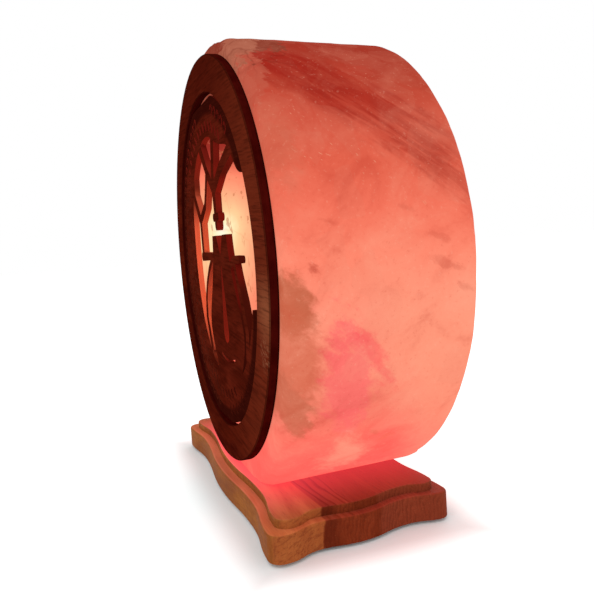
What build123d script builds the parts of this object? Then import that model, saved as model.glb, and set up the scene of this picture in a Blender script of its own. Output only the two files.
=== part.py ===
"""Salt crystal lamp: a hollowed drum of rock salt standing on a shaped wooden base.

A wooden ring and a fretwork panel close the cavity at the front, and a small lamp in a
holder comes up into the cavity from below. X runs to the right as seen from the front,
Y from the front to the back, Z up. The origin is at the bottom centre of the whole lamp.
All lengths are in millimetres.
"""

import os
from math import atan2, cos, degrees, radians, sin, sqrt

from build123d import *

os.makedirs("parts", exist_ok=True)

# ---------------------------------------------------------------- driving dimensions

# salt drum
drum_front_radius = 110.0
drum_back_radius = 108.4
drum_thickness = 82.0
drum_edge_round = 6.6
drum_axis_height = 98.9  # above the top of the wooden base
cavity_radius = 72.0
cavity_depth = 54.0
cavity_round = 7.0
holder_bore_radius = 21.0

# front ring and its glue
ring_outer_radius = 99.0
ring_width = 17.0
ring_thickness = 4.0
ring_edge = 0.5
ring_base_gap = 3.2  # between the ring and the top of the wooden base
ring_glue_thickness = 0.4
ring_glue_margin = 2.5

# fretwork panel and its glue
panel_gap = 1.2  # between the panel's rim and the ring
panel_thickness = 3.0
panel_rim = 3.0
panel_top_flat = 77.9  # the rim is cut straight this far above the ring's centre
panel_bottom_flat = 79.4  # and this far below it
panel_glue_thickness = 0.3
glue_dab_radius = 2.2
glue_dab_margin = 0.5
glue_dab_count = 8

# wooden base
base_front_half = 90.9  # centre to the tip of a front ear
base_rear_half = 83.8
base_depth = 85.4
base_front_stand = 4.6  # front ears stand this far in front of the ring
base_ear_round = 5.6
base_front_wave = 2.9
base_front_crest = 52.7  # middle of the board to the front wave's deepest point
base_rear_wave = 2.3
base_rear_crest = 48.6
base_side_wave = 5.0
base_side_waist = 23.5  # front ears to the waist behind them
base_side_bulge = 1.3
base_side_bulge_place = 39.0  # front ears to the bulge behind the waist
base_rear_flare = 2.2
base_rear_waist = 18.4  # rear ears to the waist in front of them
base_lower_height = 11.7
base_upper_height = 3.8
base_step = 4.6
base_lower_round = 1.2
base_upper_round = 0.8
base_bore_radius = 20.0
pocket_radius = 28.0
pocket_depth = 8.0
cord_groove_width = 9.0

# pads under the base
pad_radius = 7.0
pad_height = 1.5
pad_half_span = 70.0
pad_half_depth = 28.0

# wood screws, washers and plugs
screw_half_span = 34.0
screw_half_depth = 24.0
screw_radius = 2.0
screw_length = 30.0
screw_point = 4.0
screw_point_taper = 20.0  # degrees
screw_head_radius = 4.0
screw_head_height = 2.6
screw_recess_radius = 6.0
screw_recess_depth = 6.0
screw_clearance = 0.3
washer_radius = 5.5
washer_thickness = 1.0
plug_radius = 3.9
plug_length = 22.0
plug_clearance = 0.1

# lamp holder
flange_radius = 26.0
flange_thickness = 2.5
cap_radius = 14.0
cap_wall = 2.5
cap_height = 15.0
wire_hole_radius = 4.0
shell_radius = 13.5
shell_wall = 1.5
shell_height = 28.0
shell_lip = 2.0
shell_mouth_radius = 9.5
insert_clearance = 0.2
insert_height = 6.0
brass_thickness = 0.6
socket_radius = 7.0
socket_height = 17.0
socket_floor_hole = 3.5
contact_radius = 2.5
contact_step_radius = 1.6
contact_height = 2.3
terminal_radius = 1.5
terminal_head_radius = 2.4
terminal_head_height = 2.2
terminal_length = 4.0
terminal_half_span = 7.0
terminal_clearance = 0.1

# spring clip around the holder
clip_thickness = 0.8
clip_width = 8.0
clip_band_height = 6.0
clip_band_clearance = 0.2
clip_arm_height = 26.0
clip_wall_gap = 0.3

# cord inlet in the base's groove
grommet_length = 9.0
grommet_flange = 1.5
grommet_lip = 1.0
grommet_corner = 2.0
grommet_bore_radius = 3.2
grommet_clearance = 0.2

# lamp
bulb_seat_gap = 0.3
bulb_tip_radius = 2.0
bulb_tip_height = 1.4
bulb_insulator_height = 2.0
bulb_insulator_radius = 6.0
bulb_cap_radius = 6.6
bulb_cap_wall = 0.4
bulb_cap_floor = 0.5
bulb_cap_floor_hole = 4.5
bulb_cap_height = 13.0
bulb_neck_clearance = 0.3
bulb_neck_engagement = 7.0
bulb_glass_wall = 0.7
bulb_radius = 13.0
bulb_flare_height = 13.0
bulb_straight_height = 16.0
stem_radius = 2.4
stem_height = 20.0
stem_foot_thickness = 1.0
stem_foot_clearance = 0.1
filament_radius = 0.35
filament_foot_half = 1.6
filament_half_span = 6.5
filament_rise = 12.0
filament_crown = 3.0

# fretwork: a vase with branching stems, in the panel's own plane, from the ring's centre
vase_axis = 17.5
vase_mouth_z = 13.2
vase_half_widths = [(vase_mouth_z, 15.0), (3.0, 17.2), (-10.0, 23.0), (-22.0, 30.5), (-33.0, 34.5),
                    (-46.0, 29.0), (-59.0, 19.0)]  # height, half width
vase_notch_half = 6.5
vase_notch_depth = 10.0
vase_slot_top = -2.0
vase_slot_bottom = -34.0
vase_slot_top_radius = 0.6
vase_slot_bottom_radius = 5.2
vase_smile_half = 13.0
vase_smile_z = -46.0
vase_smile_sag = 2.0
vase_smile_width = 1.5
field_edge = [(71.0, 37.0), (60.0, 40.0), (49.0, 50.0), (32.0, 54.0), (10.0, 61.0), (-16.0, 57.0),
              (-36.0, 42.0), (-44.0, 14.0), (-43.0, -12.0), (-33.0, -36.0), (-10.0, -54.0),
              (15.0, -58.0), (42.0, -51.0), (60.0, -36.0), (69.5, -19.0)]
field_rows = 5
field_row_step = 6.9
field_pitch = 6.8
field_margin = 4.8
leaf_length = 4.4  # between the centres of its two ends
leaf_big_radius = 1.45
leaf_small_radius = 0.65
leaf_tilt = 38.0
curl_radius = 2.1
curl_sweep = 215.0
curl_width = 1.3
# bars of the stems, collars and handles: points along each and its half width there
right_branch = [((14.0, 35.0), 3.0), ((30.0, 43.0), 2.8), ((54.0, 50.0), 3.4)]
left_branch = [((13.5, 35.0), 3.0), ((1.0, 45.0), 2.6), ((-14.0, 61.0), 3.0)]
main_stem = [((21.0, 66.0), 3.4), ((14.0, 43.0), 2.8), ((13.5, 35.0), 3.4), ((14.0, 22.0), 2.6),
             ((14.0, 18.0), 2.4)]
main_collar = [((9.5, 22.0), 2.0), ((18.5, 22.0), 2.0)]
side_stem = [((-36.0, 50.0), 3.0), ((-36.5, 36.0), 2.6), ((-23.5, 22.0), 3.0), ((-23.5, 4.0), 2.4)]
side_twig = [((-23.5, 22.0), 2.6), ((-9.0, 29.0), 2.2), ((1.0, 45.0), 2.4)]
side_collar = [((-26.0, 3.0), 2.4), ((2.0, 3.0), 1.8)]
left_handle = [((-2.0, 2.0), 1.8), ((-12.0, -4.0), 1.7), ((-20.0, -12.0), 1.9), ((-25.0, -20.0), 2.2),
               ((-27.0, -30.0), 2.6), ((-20.0, -45.0), 3.0)]
right_handle = [((51.5, 1.5), 1.7), ((43.0, 1.5), 1.8), ((46.0, -6.0), 2.0), ((53.0, -18.0), 2.4),
                ((58.0, -30.0), 2.6), ((56.0, -42.0), 3.0)]
right_shoulder = [((43.0, 1.5), 1.8), ((33.0, -3.0), 1.8)]

# ---------------------------------------------------------------- worked out from these

lamp_depth = base_front_stand + ring_thickness + ring_glue_thickness + drum_thickness
base_front_y = -lamp_depth / 2
base_rear_y = base_front_y + base_depth
base_middle_y = (base_front_y + base_rear_y) / 2
ring_front_y = base_front_y + base_front_stand
salt_front_y = ring_front_y + ring_thickness + ring_glue_thickness
salt_back_y = salt_front_y + drum_thickness
panel_back_y = salt_front_y - panel_glue_thickness
bulb_y = salt_front_y + cavity_depth / 2

base_bottom_z = pad_height
base_step_z = base_bottom_z + base_lower_height
base_top_z = base_step_z + base_upper_height
drum_axis_z = base_top_z + drum_axis_height
ring_centre_z = base_top_z + ring_base_gap + ring_outer_radius
pocket_top_z = base_bottom_z + pocket_depth

ring_inner_radius = ring_outer_radius - ring_width
panel_radius = ring_inner_radius - panel_gap

washer_top_z = base_bottom_z + screw_recess_depth
washer_bottom_z = washer_top_z - washer_thickness
screw_middle_y = (salt_front_y + salt_back_y) / 2
screw_places = [(x, screw_middle_y + y) for x in (-screw_half_span, screw_half_span)
                for y in (-screw_half_depth, screw_half_depth)]
pad_places = [(x, base_middle_y + y) for x in (-pad_half_span, pad_half_span)
              for y in (-pad_half_depth, pad_half_depth)]

cap_bottom_z = pocket_top_z - flange_thickness
cap_top_z = cap_bottom_z + cap_height
insert_top_z = cap_top_z + insert_height
socket_outer_radius = socket_radius + brass_thickness
terminal_places = [(-terminal_half_span, bulb_y), (terminal_half_span, bulb_y)]

bulb_tip_z = insert_top_z + contact_height + bulb_seat_gap
bulb_insulator_z = bulb_tip_z + bulb_tip_height
bulb_cap_z = bulb_insulator_z + bulb_insulator_height
bulb_cap_top_z = bulb_cap_z + bulb_cap_height
bulb_neck_z = bulb_cap_top_z - bulb_neck_engagement
bulb_neck_radius = bulb_cap_radius - bulb_cap_wall - bulb_neck_clearance
bulb_shoulder_z = bulb_cap_top_z + bulb_flare_height
bulb_dome_z = bulb_shoulder_z + bulb_straight_height
stem_top_z = bulb_neck_z + stem_height

front_plane = Plane(origin=(0, panel_back_y, ring_centre_z), x_dir=(1, 0, 0), z_dir=(0, -1, 0))
bulb_side_plane = Plane(origin=(0, bulb_y, 0), x_dir=(1, 0, 0), z_dir=(0, -1, 0))
bulb_axis = Axis((0, bulb_y, 0), (0, 0, 1))


def level(height, x=0.0, y=0.0):
    """A horizontal plane at a height, centred on a point."""
    return Plane(origin=(x, y, height), x_dir=(1, 0, 0), z_dir=(0, 0, 1))


def facing_front(y, z):
    """An upright plane whose normal points to the front, centred on the lamp's middle."""
    return Plane(origin=(0, y, z), x_dir=(1, 0, 0), z_dir=(0, -1, 0))


def save(part, name):
    """Label a finished piece and write it as one file."""
    part.label = name
    export_step(part, f"parts/{name}.step")


# ---------------------------------------------------------------- salt drum

drum_plane = Plane(origin=(0, salt_front_y, drum_axis_z), x_dir=(0, 1, 0), z_dir=(1, 0, 0))

with BuildPart() as salt_drum:
    with BuildSketch(drum_plane):
        with BuildLine():
            Polyline((0, 0), (0, drum_front_radius), (drum_thickness, drum_back_radius),
                     (drum_thickness, 0), close=True)
        make_face()
    revolve(axis=Axis((0, salt_front_y, drum_axis_z), (0, 1, 0)))
    fillet(salt_drum.edges().filter_by(GeomType.CIRCLE), drum_edge_round)
    split(bisect_by=Plane.XY.offset(base_top_z), keep=Keep.TOP)
    with BuildSketch(facing_front(salt_front_y, drum_axis_z)):
        Circle(cavity_radius)
    extrude(amount=-cavity_depth, mode=Mode.SUBTRACT)
    cavity_floor = salt_drum.faces().filter_by(Axis.Y).sort_by(Axis.Y)[1]
    fillet(cavity_floor.edges(), cavity_round)
    with BuildSketch(level(base_top_z, 0, bulb_y)):
        Circle(holder_bore_radius)
    extrude(amount=drum_axis_height - cavity_radius / 2, mode=Mode.SUBTRACT)
    with BuildSketch(level(base_top_z)):
        with Locations(*screw_places):
            Circle(plug_radius + plug_clearance)
    extrude(amount=plug_length + plug_clearance, mode=Mode.SUBTRACT)
save(salt_drum.part, "salt_drum")

# ---------------------------------------------------------------- ring

with BuildPart() as front_ring:
    with BuildSketch(facing_front(ring_front_y + ring_thickness, ring_centre_z)):
        Circle(ring_outer_radius)
        Circle(ring_inner_radius, mode=Mode.SUBTRACT)
    extrude(amount=ring_thickness)
    chamfer(front_ring.faces().sort_by(Axis.Y)[0].edges(), ring_edge)
save(front_ring.part, "front_ring")

with BuildPart() as ring_adhesive:
    with BuildSketch(facing_front(salt_front_y, ring_centre_z)):
        Circle(ring_outer_radius - ring_glue_margin)
        Circle(ring_inner_radius + ring_glue_margin, mode=Mode.SUBTRACT)
    extrude(amount=ring_glue_thickness)
save(ring_adhesive.part, "ring_adhesive")

# ---------------------------------------------------------------- fretwork panel


def tapered_bar(start, start_radius, end, end_radius):
    """A flat bar with round ends: the hull of two circles."""
    with BuildSketch() as bar:
        with BuildLine():
            CenterArc(start, start_radius, 0, 360)
            CenterArc(end, end_radius, 0, 360)
        make_hull()
    return bar.sketch


bar_lines = [right_branch, left_branch, main_stem, main_collar, side_stem, side_twig, side_collar,
             left_handle, right_handle, right_shoulder]
fretwork_bars = [tapered_bar(start, start_radius, end, end_radius) for line in bar_lines
                 for (start, start_radius), (end, end_radius) in zip(line, line[1:])]

with BuildSketch() as field_void:
    with BuildLine():
        void_curve = Spline(*field_edge)
        Polyline(void_curve @ 1, (panel_radius + panel_rim, field_edge[-1][1]),
                 (panel_radius + panel_rim, field_edge[0][1]), void_curve @ 0)
    make_face()

with BuildSketch() as vase:
    with BuildLine():
        right_side = Spline(*[(vase_axis + w, z) for z, w in vase_half_widths])
        left_side = Spline(*[(vase_axis - w, z) for z, w in vase_half_widths])
        Line(right_side @ 0, left_side @ 0)
        Line(right_side @ 1, left_side @ 1)
    make_face()

vase_slot = tapered_bar((vase_axis, vase_slot_top), vase_slot_top_radius,
                        (vase_axis, vase_slot_bottom), vase_slot_bottom_radius)
leaf = tapered_bar((-leaf_length / 2, 0), leaf_big_radius, (leaf_length / 2, 0), leaf_small_radius)

with BuildSketch() as curl:
    with BuildLine() as curl_line:
        CenterArc((0, 0), curl_radius, -curl_sweep / 2, curl_sweep)
    SlotArc(curl_line.edges()[0], curl_width)


curl_reach = curl_radius + curl_width / 2
field_top = panel_top_flat - panel_rim - curl_reach
field_bottom = panel_rim + curl_reach - panel_bottom_flat


def field_places(row):
    """Places of one row of openings around the rim, clear of the open middle and the flats."""
    radius = panel_radius - panel_rim - field_row_step * (row + 0.5)
    count = round(radians(360) * radius / field_pitch)
    tilt = leaf_tilt if row % 4 == 1 else -leaf_tilt
    places = []
    for k in range(count):
        angle = 360 / count * (k + 0.5 * (row % 2))
        x, z = radius * cos(radians(angle)), radius * sin(radians(angle))
        away = field_void.sketch.distance_to(Vertex(x, z, 0)) > field_margin
        if away and field_bottom < z < field_top:
            places.append(Location((x, z, 0), (0, 0, angle + tilt)))
    return places


curl_places = [place for row in range(0, field_rows, 2) for place in field_places(row)]
leaf_places = [place for row in range(1, field_rows, 2) for place in field_places(row)]


with BuildPart() as fretwork_panel:
    with BuildSketch(front_plane):
        Circle(panel_radius)
        add(field_void.sketch, mode=Mode.SUBTRACT)
        add(vase.sketch)
        for bar in fretwork_bars:
            add(bar)
        Circle(panel_radius, mode=Mode.INTERSECT)
        with Locations((0, (panel_top_flat - panel_bottom_flat) / 2)):
            Rectangle(2 * panel_radius, panel_top_flat + panel_bottom_flat, mode=Mode.INTERSECT)
        with BuildLine():
            Polyline((vase_axis - vase_notch_half, vase_mouth_z),
                     (vase_axis + vase_notch_half, vase_mouth_z),
                     (vase_axis, vase_mouth_z - vase_notch_depth), close=True)
        make_face(mode=Mode.SUBTRACT)
        add(vase_slot, mode=Mode.SUBTRACT)
        with BuildLine() as smile:
            ThreePointArc((vase_axis - vase_smile_half, vase_smile_z),
                          (vase_axis, vase_smile_z - vase_smile_sag),
                          (vase_axis + vase_smile_half, vase_smile_z))
        SlotArc(smile.edges()[0], vase_smile_width, mode=Mode.SUBTRACT)
        with Locations(*leaf_places):
            add(leaf, mode=Mode.SUBTRACT)
        with Locations(*curl_places):
            add(curl.sketch, mode=Mode.SUBTRACT)
    extrude(amount=panel_thickness)
save(fretwork_panel.part, "fretwork_panel")

window_top_angle = degrees(atan2(field_edge[0][1], field_edge[0][0]))
window_bottom_angle = degrees(atan2(field_edge[-1][1], field_edge[-1][0]))
dab_span = 360 - window_top_angle + window_bottom_angle
dab_inset = glue_dab_radius + glue_dab_margin
dab_ring_radius = panel_radius - dab_inset

with BuildPart() as panel_adhesive:
    with BuildSketch(facing_front(salt_front_y, ring_centre_z)):
        for k in range(glue_dab_count):
            angle = radians(window_top_angle + dab_span * (k + 0.5) / glue_dab_count)
            dab_x, dab_z = dab_ring_radius * cos(angle), dab_ring_radius * sin(angle)
            dab_z = max(dab_inset - panel_bottom_flat, min(panel_top_flat - dab_inset, dab_z))
            with Locations((dab_x, dab_z)):
                Circle(glue_dab_radius)
    extrude(amount=panel_glue_thickness)
save(panel_adhesive.part, "panel_adhesive")

# ---------------------------------------------------------------- wooden base


def base_turnings(inset):
    """Turning points of the base's right half, front to rear, and the way the outline runs there."""
    front, rear = base_front_y + inset, base_rear_y - inset
    near, far = base_front_half - inset, base_rear_half - inset
    waist_x = near - base_side_wave
    right, back, left = (1, 0), (0, 1), (-1, 0)
    return [
        ((0, front), right),
        ((base_front_crest, front + base_front_wave), right),
        ((near - base_ear_round, front), right),
        ((near, front + base_ear_round), back),
        ((waist_x, base_front_y + base_side_waist), back),
        ((waist_x + base_side_bulge, base_front_y + base_side_bulge_place), back),
        ((far - base_rear_flare, base_rear_y - base_rear_waist), back),
        ((far, rear - base_ear_round), back),
        ((far - base_ear_round, rear), left),
        ((base_rear_crest, rear - base_rear_wave), left),
        ((0, rear), left)]


def base_outline(inset):
    """The outline of the base, drawn in by an inset: ogees of two arcs, and round ears."""
    turnings = base_turnings(inset)
    with BuildSketch() as outline:
        with BuildLine():
            for (start, way_out), (end, way_in) in zip(turnings, turnings[1:]):
                if way_out == way_in:
                    middle = ((start[0] + end[0]) / 2, (start[1] + end[1]) / 2)
                    half = TangentArc(start, middle, tangent=way_out)
                    TangentArc(middle, end, tangent=half % 1)
                else:
                    TangentArc(start, end, tangent=way_out)
            mirror(about=Plane.YZ)
        make_face()
    return outline.sketch


with BuildPart() as base_board:
    with BuildSketch(level(base_bottom_z)):
        add(base_outline(0))
    extrude(amount=base_lower_height)
    fillet(base_board.faces().sort_by(Axis.Z)[-1].edges(), base_lower_round)
    with BuildSketch(level(base_step_z)):
        add(base_outline(base_step))
    extrude(amount=base_upper_height)
    fillet(base_board.faces().sort_by(Axis.Z)[-1].edges(), base_upper_round)
    with BuildSketch(level(base_bottom_z, 0, bulb_y)):
        Circle(base_bore_radius)
    extrude(amount=base_lower_height + base_upper_height, mode=Mode.SUBTRACT)
    with BuildSketch(level(base_bottom_z, 0, bulb_y)):
        Circle(pocket_radius)
        with Locations((0, lamp_depth / 2)):
            Rectangle(cord_groove_width, lamp_depth)
    extrude(amount=pocket_depth, mode=Mode.SUBTRACT)
    with BuildSketch(level(base_bottom_z)):
        with Locations(*screw_places):
            Circle(screw_recess_radius)
    extrude(amount=screw_recess_depth, mode=Mode.SUBTRACT)
    with BuildSketch(level(base_bottom_z)):
        with Locations(*screw_places):
            Circle(screw_radius + screw_clearance)
    extrude(amount=base_lower_height + base_upper_height, mode=Mode.SUBTRACT)
save(base_board.part, "base_board")

with BuildPart() as foot_pads:
    with BuildSketch(level(0)):
        with Locations(*pad_places):
            Circle(pad_radius)
    extrude(amount=pad_height)
    chamfer(foot_pads.faces().group_by(Axis.Z)[0].edges(), pad_height / 4)
save(foot_pads.part, "foot_pads")

with BuildPart() as cord_grommet:
    with BuildSketch(facing_front(base_rear_y, base_bottom_z + pocket_depth / 2)):
        Rectangle(cord_groove_width - 2 * grommet_clearance, pocket_depth - 2 * grommet_clearance)
    extrude(amount=grommet_length)
    with BuildSketch(facing_front(base_rear_y + grommet_flange, base_bottom_z + pocket_depth / 2)):
        RectangleRounded(cord_groove_width + 2 * grommet_lip, pocket_depth + grommet_lip, grommet_corner)
    extrude(amount=grommet_flange)
    with BuildSketch(facing_front(base_rear_y + grommet_flange, base_bottom_z + pocket_depth / 2)):
        Circle(grommet_bore_radius)
    extrude(amount=grommet_length + grommet_flange, mode=Mode.SUBTRACT)
save(cord_grommet.part, "cord_grommet")

# ---------------------------------------------------------------- screws, washers, plugs

with BuildPart() as base_screws:
    with BuildSketch(level(washer_bottom_z)):
        with Locations(*screw_places):
            Circle(screw_head_radius)
    extrude(amount=-screw_head_height)
    fillet(base_screws.faces().group_by(Axis.Z)[0].edges(), screw_head_height / 3)
    with BuildSketch(level(washer_bottom_z)):
        with Locations(*screw_places):
            Circle(screw_radius)
    extrude(amount=screw_length - screw_point)
    with BuildSketch(level(washer_bottom_z + screw_length - screw_point)):
        with Locations(*screw_places):
            Circle(screw_radius)
    extrude(amount=screw_point, taper=screw_point_taper)
save(base_screws.part, "base_screws")

with BuildPart() as screw_washers:
    with BuildSketch(level(washer_bottom_z)):
        with Locations(*screw_places):
            Circle(washer_radius)
            Circle(screw_radius + screw_clearance, mode=Mode.SUBTRACT)
    extrude(amount=washer_thickness)
save(screw_washers.part, "screw_washers")

with BuildPart() as salt_plugs:
    with BuildSketch(level(base_top_z)):
        with Locations(*screw_places):
            Circle(plug_radius)
            Circle(screw_radius + plug_clearance, mode=Mode.SUBTRACT)
    extrude(amount=plug_length)
save(salt_plugs.part, "salt_plugs")

# ---------------------------------------------------------------- lamp holder

with BuildPart() as holder_cap:
    with BuildSketch(level(cap_bottom_z, 0, bulb_y)):
        Circle(flange_radius)
    extrude(amount=flange_thickness)
    with BuildSketch(level(cap_bottom_z, 0, bulb_y)):
        Circle(cap_radius)
    extrude(amount=cap_height)
    with BuildSketch(level(cap_top_z, 0, bulb_y)):
        Circle(cap_radius - cap_wall)
    extrude(amount=flange_thickness - cap_height, mode=Mode.SUBTRACT)
    with BuildSketch(level(cap_bottom_z, 0, bulb_y)):
        Circle(wire_hole_radius)
    extrude(amount=flange_thickness, mode=Mode.SUBTRACT)
save(holder_cap.part, "holder_cap")

with BuildPart() as holder_body:
    with BuildSketch(level(cap_top_z, 0, bulb_y)):
        Circle(shell_radius)
    extrude(amount=shell_height)
    fillet(holder_body.edges().group_by(Axis.Z)[-1], shell_wall / 2)
    with BuildSketch(level(cap_top_z, 0, bulb_y)):
        Circle(shell_radius - shell_wall)
    extrude(amount=shell_height - shell_lip, mode=Mode.SUBTRACT)
    with BuildSketch(level(cap_top_z, 0, bulb_y)):
        Circle(shell_mouth_radius)
    extrude(amount=shell_height, mode=Mode.SUBTRACT)
save(holder_body.part, "holder_body")

with BuildPart() as holder_insert:
    with BuildSketch(level(cap_top_z, 0, bulb_y)):
        Circle(shell_radius - shell_wall - insert_clearance)
    extrude(amount=insert_height)
    with BuildSketch(level(cap_top_z)):
        with Locations(*terminal_places):
            Circle(terminal_radius + terminal_clearance)
    extrude(amount=terminal_length + terminal_clearance, mode=Mode.SUBTRACT)
save(holder_insert.part, "holder_insert")

with BuildPart() as screw_shell:
    with BuildSketch(level(insert_top_z, 0, bulb_y)):
        Circle(socket_outer_radius)
        Circle(socket_radius, mode=Mode.SUBTRACT)
    extrude(amount=socket_height)
    with BuildSketch(level(insert_top_z, 0, bulb_y)):
        Circle(socket_radius)
        Circle(socket_floor_hole, mode=Mode.SUBTRACT)
    extrude(amount=brass_thickness)
save(screw_shell.part, "screw_shell")

with BuildPart() as centre_contact:
    with BuildSketch(level(insert_top_z, 0, bulb_y)):
        Circle(contact_radius)
    extrude(amount=contact_height / 2)
    with BuildSketch(level(insert_top_z, 0, bulb_y)):
        Circle(contact_step_radius)
    extrude(amount=contact_height)
save(centre_contact.part, "centre_contact")

with BuildPart() as terminal_screws:
    with BuildSketch(level(cap_top_z)):
        with Locations(*terminal_places):
            Circle(terminal_head_radius)
    extrude(amount=-terminal_head_height)
    with BuildSketch(level(cap_top_z)):
        with Locations(*terminal_places):
            Circle(terminal_radius)
    extrude(amount=terminal_length)
save(terminal_screws.part, "terminal_screws")

clip_inner = cap_radius + clip_band_clearance
clip_bow = sqrt((holder_bore_radius - clip_wall_gap) ** 2 - (clip_width / 2) ** 2)
clip_base_z = pocket_top_z + clip_band_clearance
clip_arm_z = clip_base_z + clip_band_height
clip_bow_z = clip_arm_z + clip_arm_height / 2
clip_end_z = clip_arm_z + clip_arm_height

with BuildPart() as holder_spring:
    with BuildSketch(level(clip_base_z, 0, bulb_y)):
        Circle(clip_inner + clip_thickness)
        Circle(clip_inner, mode=Mode.SUBTRACT)
    extrude(amount=clip_band_height)
    with BuildSketch(bulb_side_plane):
        with BuildLine():
            outer = ThreePointArc((clip_inner + clip_thickness, clip_arm_z), (clip_bow, clip_bow_z),
                                  (clip_inner + clip_thickness, clip_end_z))
            inner = ThreePointArc((clip_inner, clip_arm_z), (clip_bow - clip_thickness, clip_bow_z),
                                  (clip_inner, clip_end_z))
            Line(outer @ 0, inner @ 0)
            Line(outer @ 1, inner @ 1)
        make_face()
        mirror(about=Plane.YZ)
    extrude(amount=clip_width / 2, both=True)
save(holder_spring.part, "holder_spring")

# ---------------------------------------------------------------- lamp

with BuildPart() as bulb_contact:
    with BuildSketch(level(bulb_tip_z, 0, bulb_y)):
        Circle(bulb_tip_radius)
    extrude(amount=bulb_tip_height)
    fillet(bulb_contact.edges().group_by(Axis.Z)[0], bulb_tip_height / 2)
save(bulb_contact.part, "bulb_contact")

with BuildPart() as bulb_insulator:
    with BuildSketch(bulb_side_plane):
        with BuildLine():
            Polyline((0, bulb_insulator_z), (bulb_tip_radius, bulb_insulator_z),
                     (bulb_insulator_radius, bulb_cap_z), (0, bulb_cap_z), close=True)
        make_face()
    revolve(axis=bulb_axis)
save(bulb_insulator.part, "bulb_insulator")

with BuildPart() as bulb_cap:
    with BuildSketch(level(bulb_cap_z, 0, bulb_y)):
        Circle(bulb_cap_radius)
        Circle(bulb_cap_radius - bulb_cap_wall, mode=Mode.SUBTRACT)
    extrude(amount=bulb_cap_height)
    with BuildSketch(level(bulb_cap_z, 0, bulb_y)):
        Circle(bulb_cap_radius - bulb_cap_wall)
        Circle(bulb_cap_floor_hole, mode=Mode.SUBTRACT)
    extrude(amount=bulb_cap_floor)
save(bulb_cap.part, "bulb_cap")


def envelope_face(inset):
    """Half profile of the envelope, drawn in by an inset on every side but the open end."""
    neck = bulb_neck_radius - inset
    body = bulb_radius - inset
    with BuildSketch() as face:
        with BuildLine():
            foot = Line((0, bulb_neck_z), (neck, bulb_neck_z))
            wall = Line(foot @ 1, (neck, bulb_cap_top_z))
            flare = Spline(wall @ 1, (body, bulb_shoulder_z), tangents=((0, 1), (0, 1)))
            side = Line(flare @ 1, (body, bulb_dome_z))
            dome = CenterArc((0, bulb_dome_z), body, 0, 90)
            Line(dome @ 1, foot @ 0)
        make_face()
    return face.sketch


with BuildPart() as bulb_glass:
    with BuildSketch(bulb_side_plane):
        add(envelope_face(0))
        add(envelope_face(bulb_glass_wall), mode=Mode.SUBTRACT)
    revolve(axis=bulb_axis)
save(bulb_glass.part, "bulb_glass")

with BuildPart() as filament_stem:
    with BuildSketch(level(bulb_neck_z, 0, bulb_y)):
        Circle(bulb_neck_radius - bulb_glass_wall - stem_foot_clearance)
    extrude(amount=stem_foot_thickness)
    with BuildSketch(level(bulb_neck_z, 0, bulb_y)):
        Circle(stem_radius)
    extrude(amount=stem_height)
save(filament_stem.part, "filament_stem")

with BuildPart() as filament:
    with BuildLine(bulb_side_plane) as wire:
        rise_z = stem_top_z + filament_rise
        left_lead = Line((-filament_foot_half, stem_top_z), (-filament_half_span, rise_z))
        coil = ThreePointArc(left_lead @ 1, (0, rise_z + filament_crown), (filament_half_span, rise_z))
        Line(coil @ 1, (filament_foot_half, stem_top_z))
    with BuildSketch(level(stem_top_z, -filament_foot_half, bulb_y)):
        Circle(filament_radius)
    sweep(path=wire.wire(), transition=Transition.ROUND)
    split(bisect_by=Plane.XY.offset(stem_top_z), keep=Keep.TOP)
save(filament.part, "filament")

print("lamp depth", lamp_depth, "height", drum_axis_z + drum_front_radius)
print("fretwork openings", len(leaf_places) + len(curl_places))
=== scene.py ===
"""Looks of a lit salt crystal lamp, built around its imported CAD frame.

The frame's pieces keep their shapes and places and get their finishes here. The carved
salt is modelled again with the unevenness that hand-turned salt has. X runs to the right
as seen from the front, Y from the front to the back, Z up, all in metres.
"""

import logging
import math
from dataclasses import dataclass
from enum import Enum
from typing import Any, Callable, Protocol

import bpy
from mathutils import Matrix, Vector


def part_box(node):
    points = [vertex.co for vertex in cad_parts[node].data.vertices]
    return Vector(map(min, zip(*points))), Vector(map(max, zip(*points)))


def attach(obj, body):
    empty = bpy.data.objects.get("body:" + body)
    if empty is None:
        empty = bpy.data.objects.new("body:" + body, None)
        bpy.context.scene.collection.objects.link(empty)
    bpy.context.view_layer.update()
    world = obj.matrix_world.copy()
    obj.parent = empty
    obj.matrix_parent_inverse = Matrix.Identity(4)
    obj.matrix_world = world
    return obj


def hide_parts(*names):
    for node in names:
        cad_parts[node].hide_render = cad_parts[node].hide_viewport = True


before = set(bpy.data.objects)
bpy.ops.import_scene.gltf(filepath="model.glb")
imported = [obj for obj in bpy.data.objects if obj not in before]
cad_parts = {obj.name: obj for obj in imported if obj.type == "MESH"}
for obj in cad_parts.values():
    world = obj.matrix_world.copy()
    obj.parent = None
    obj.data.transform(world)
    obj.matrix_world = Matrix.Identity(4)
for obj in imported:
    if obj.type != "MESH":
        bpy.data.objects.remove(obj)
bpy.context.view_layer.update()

log = logging.getLogger("salt_lamp")

Colour = tuple[float, float, float, float]
Tint = tuple[float, float, float]
Place = tuple[float, float, float]
FacePlace = tuple[float, float]
Span = tuple[float, float]
Socket = bpy.types.NodeSocket

MM = 0.001


def paint(red: float, green: float, blue: float) -> Colour:
    """Turn a screen colour into the linear colour that a socket takes.

    Args:
        red: The red share, from 0 to 255.
        green: The green share, from 0 to 255.
        blue: The blue share, from 0 to 255.

    Returns:
        The linear colour with full opacity.
    """
    def linear(share: float) -> float:
        """Undo the screen's curve for one channel."""
        value = share / 255
        return value / 12.92 if value <= 0.04045 else ((value + 0.055) / 1.055) ** 2.4

    return (linear(red), linear(green), linear(blue), 1.0)


BLACK = paint(0, 0, 0)


# ------------------------------------------------------------------ node trees


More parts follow.
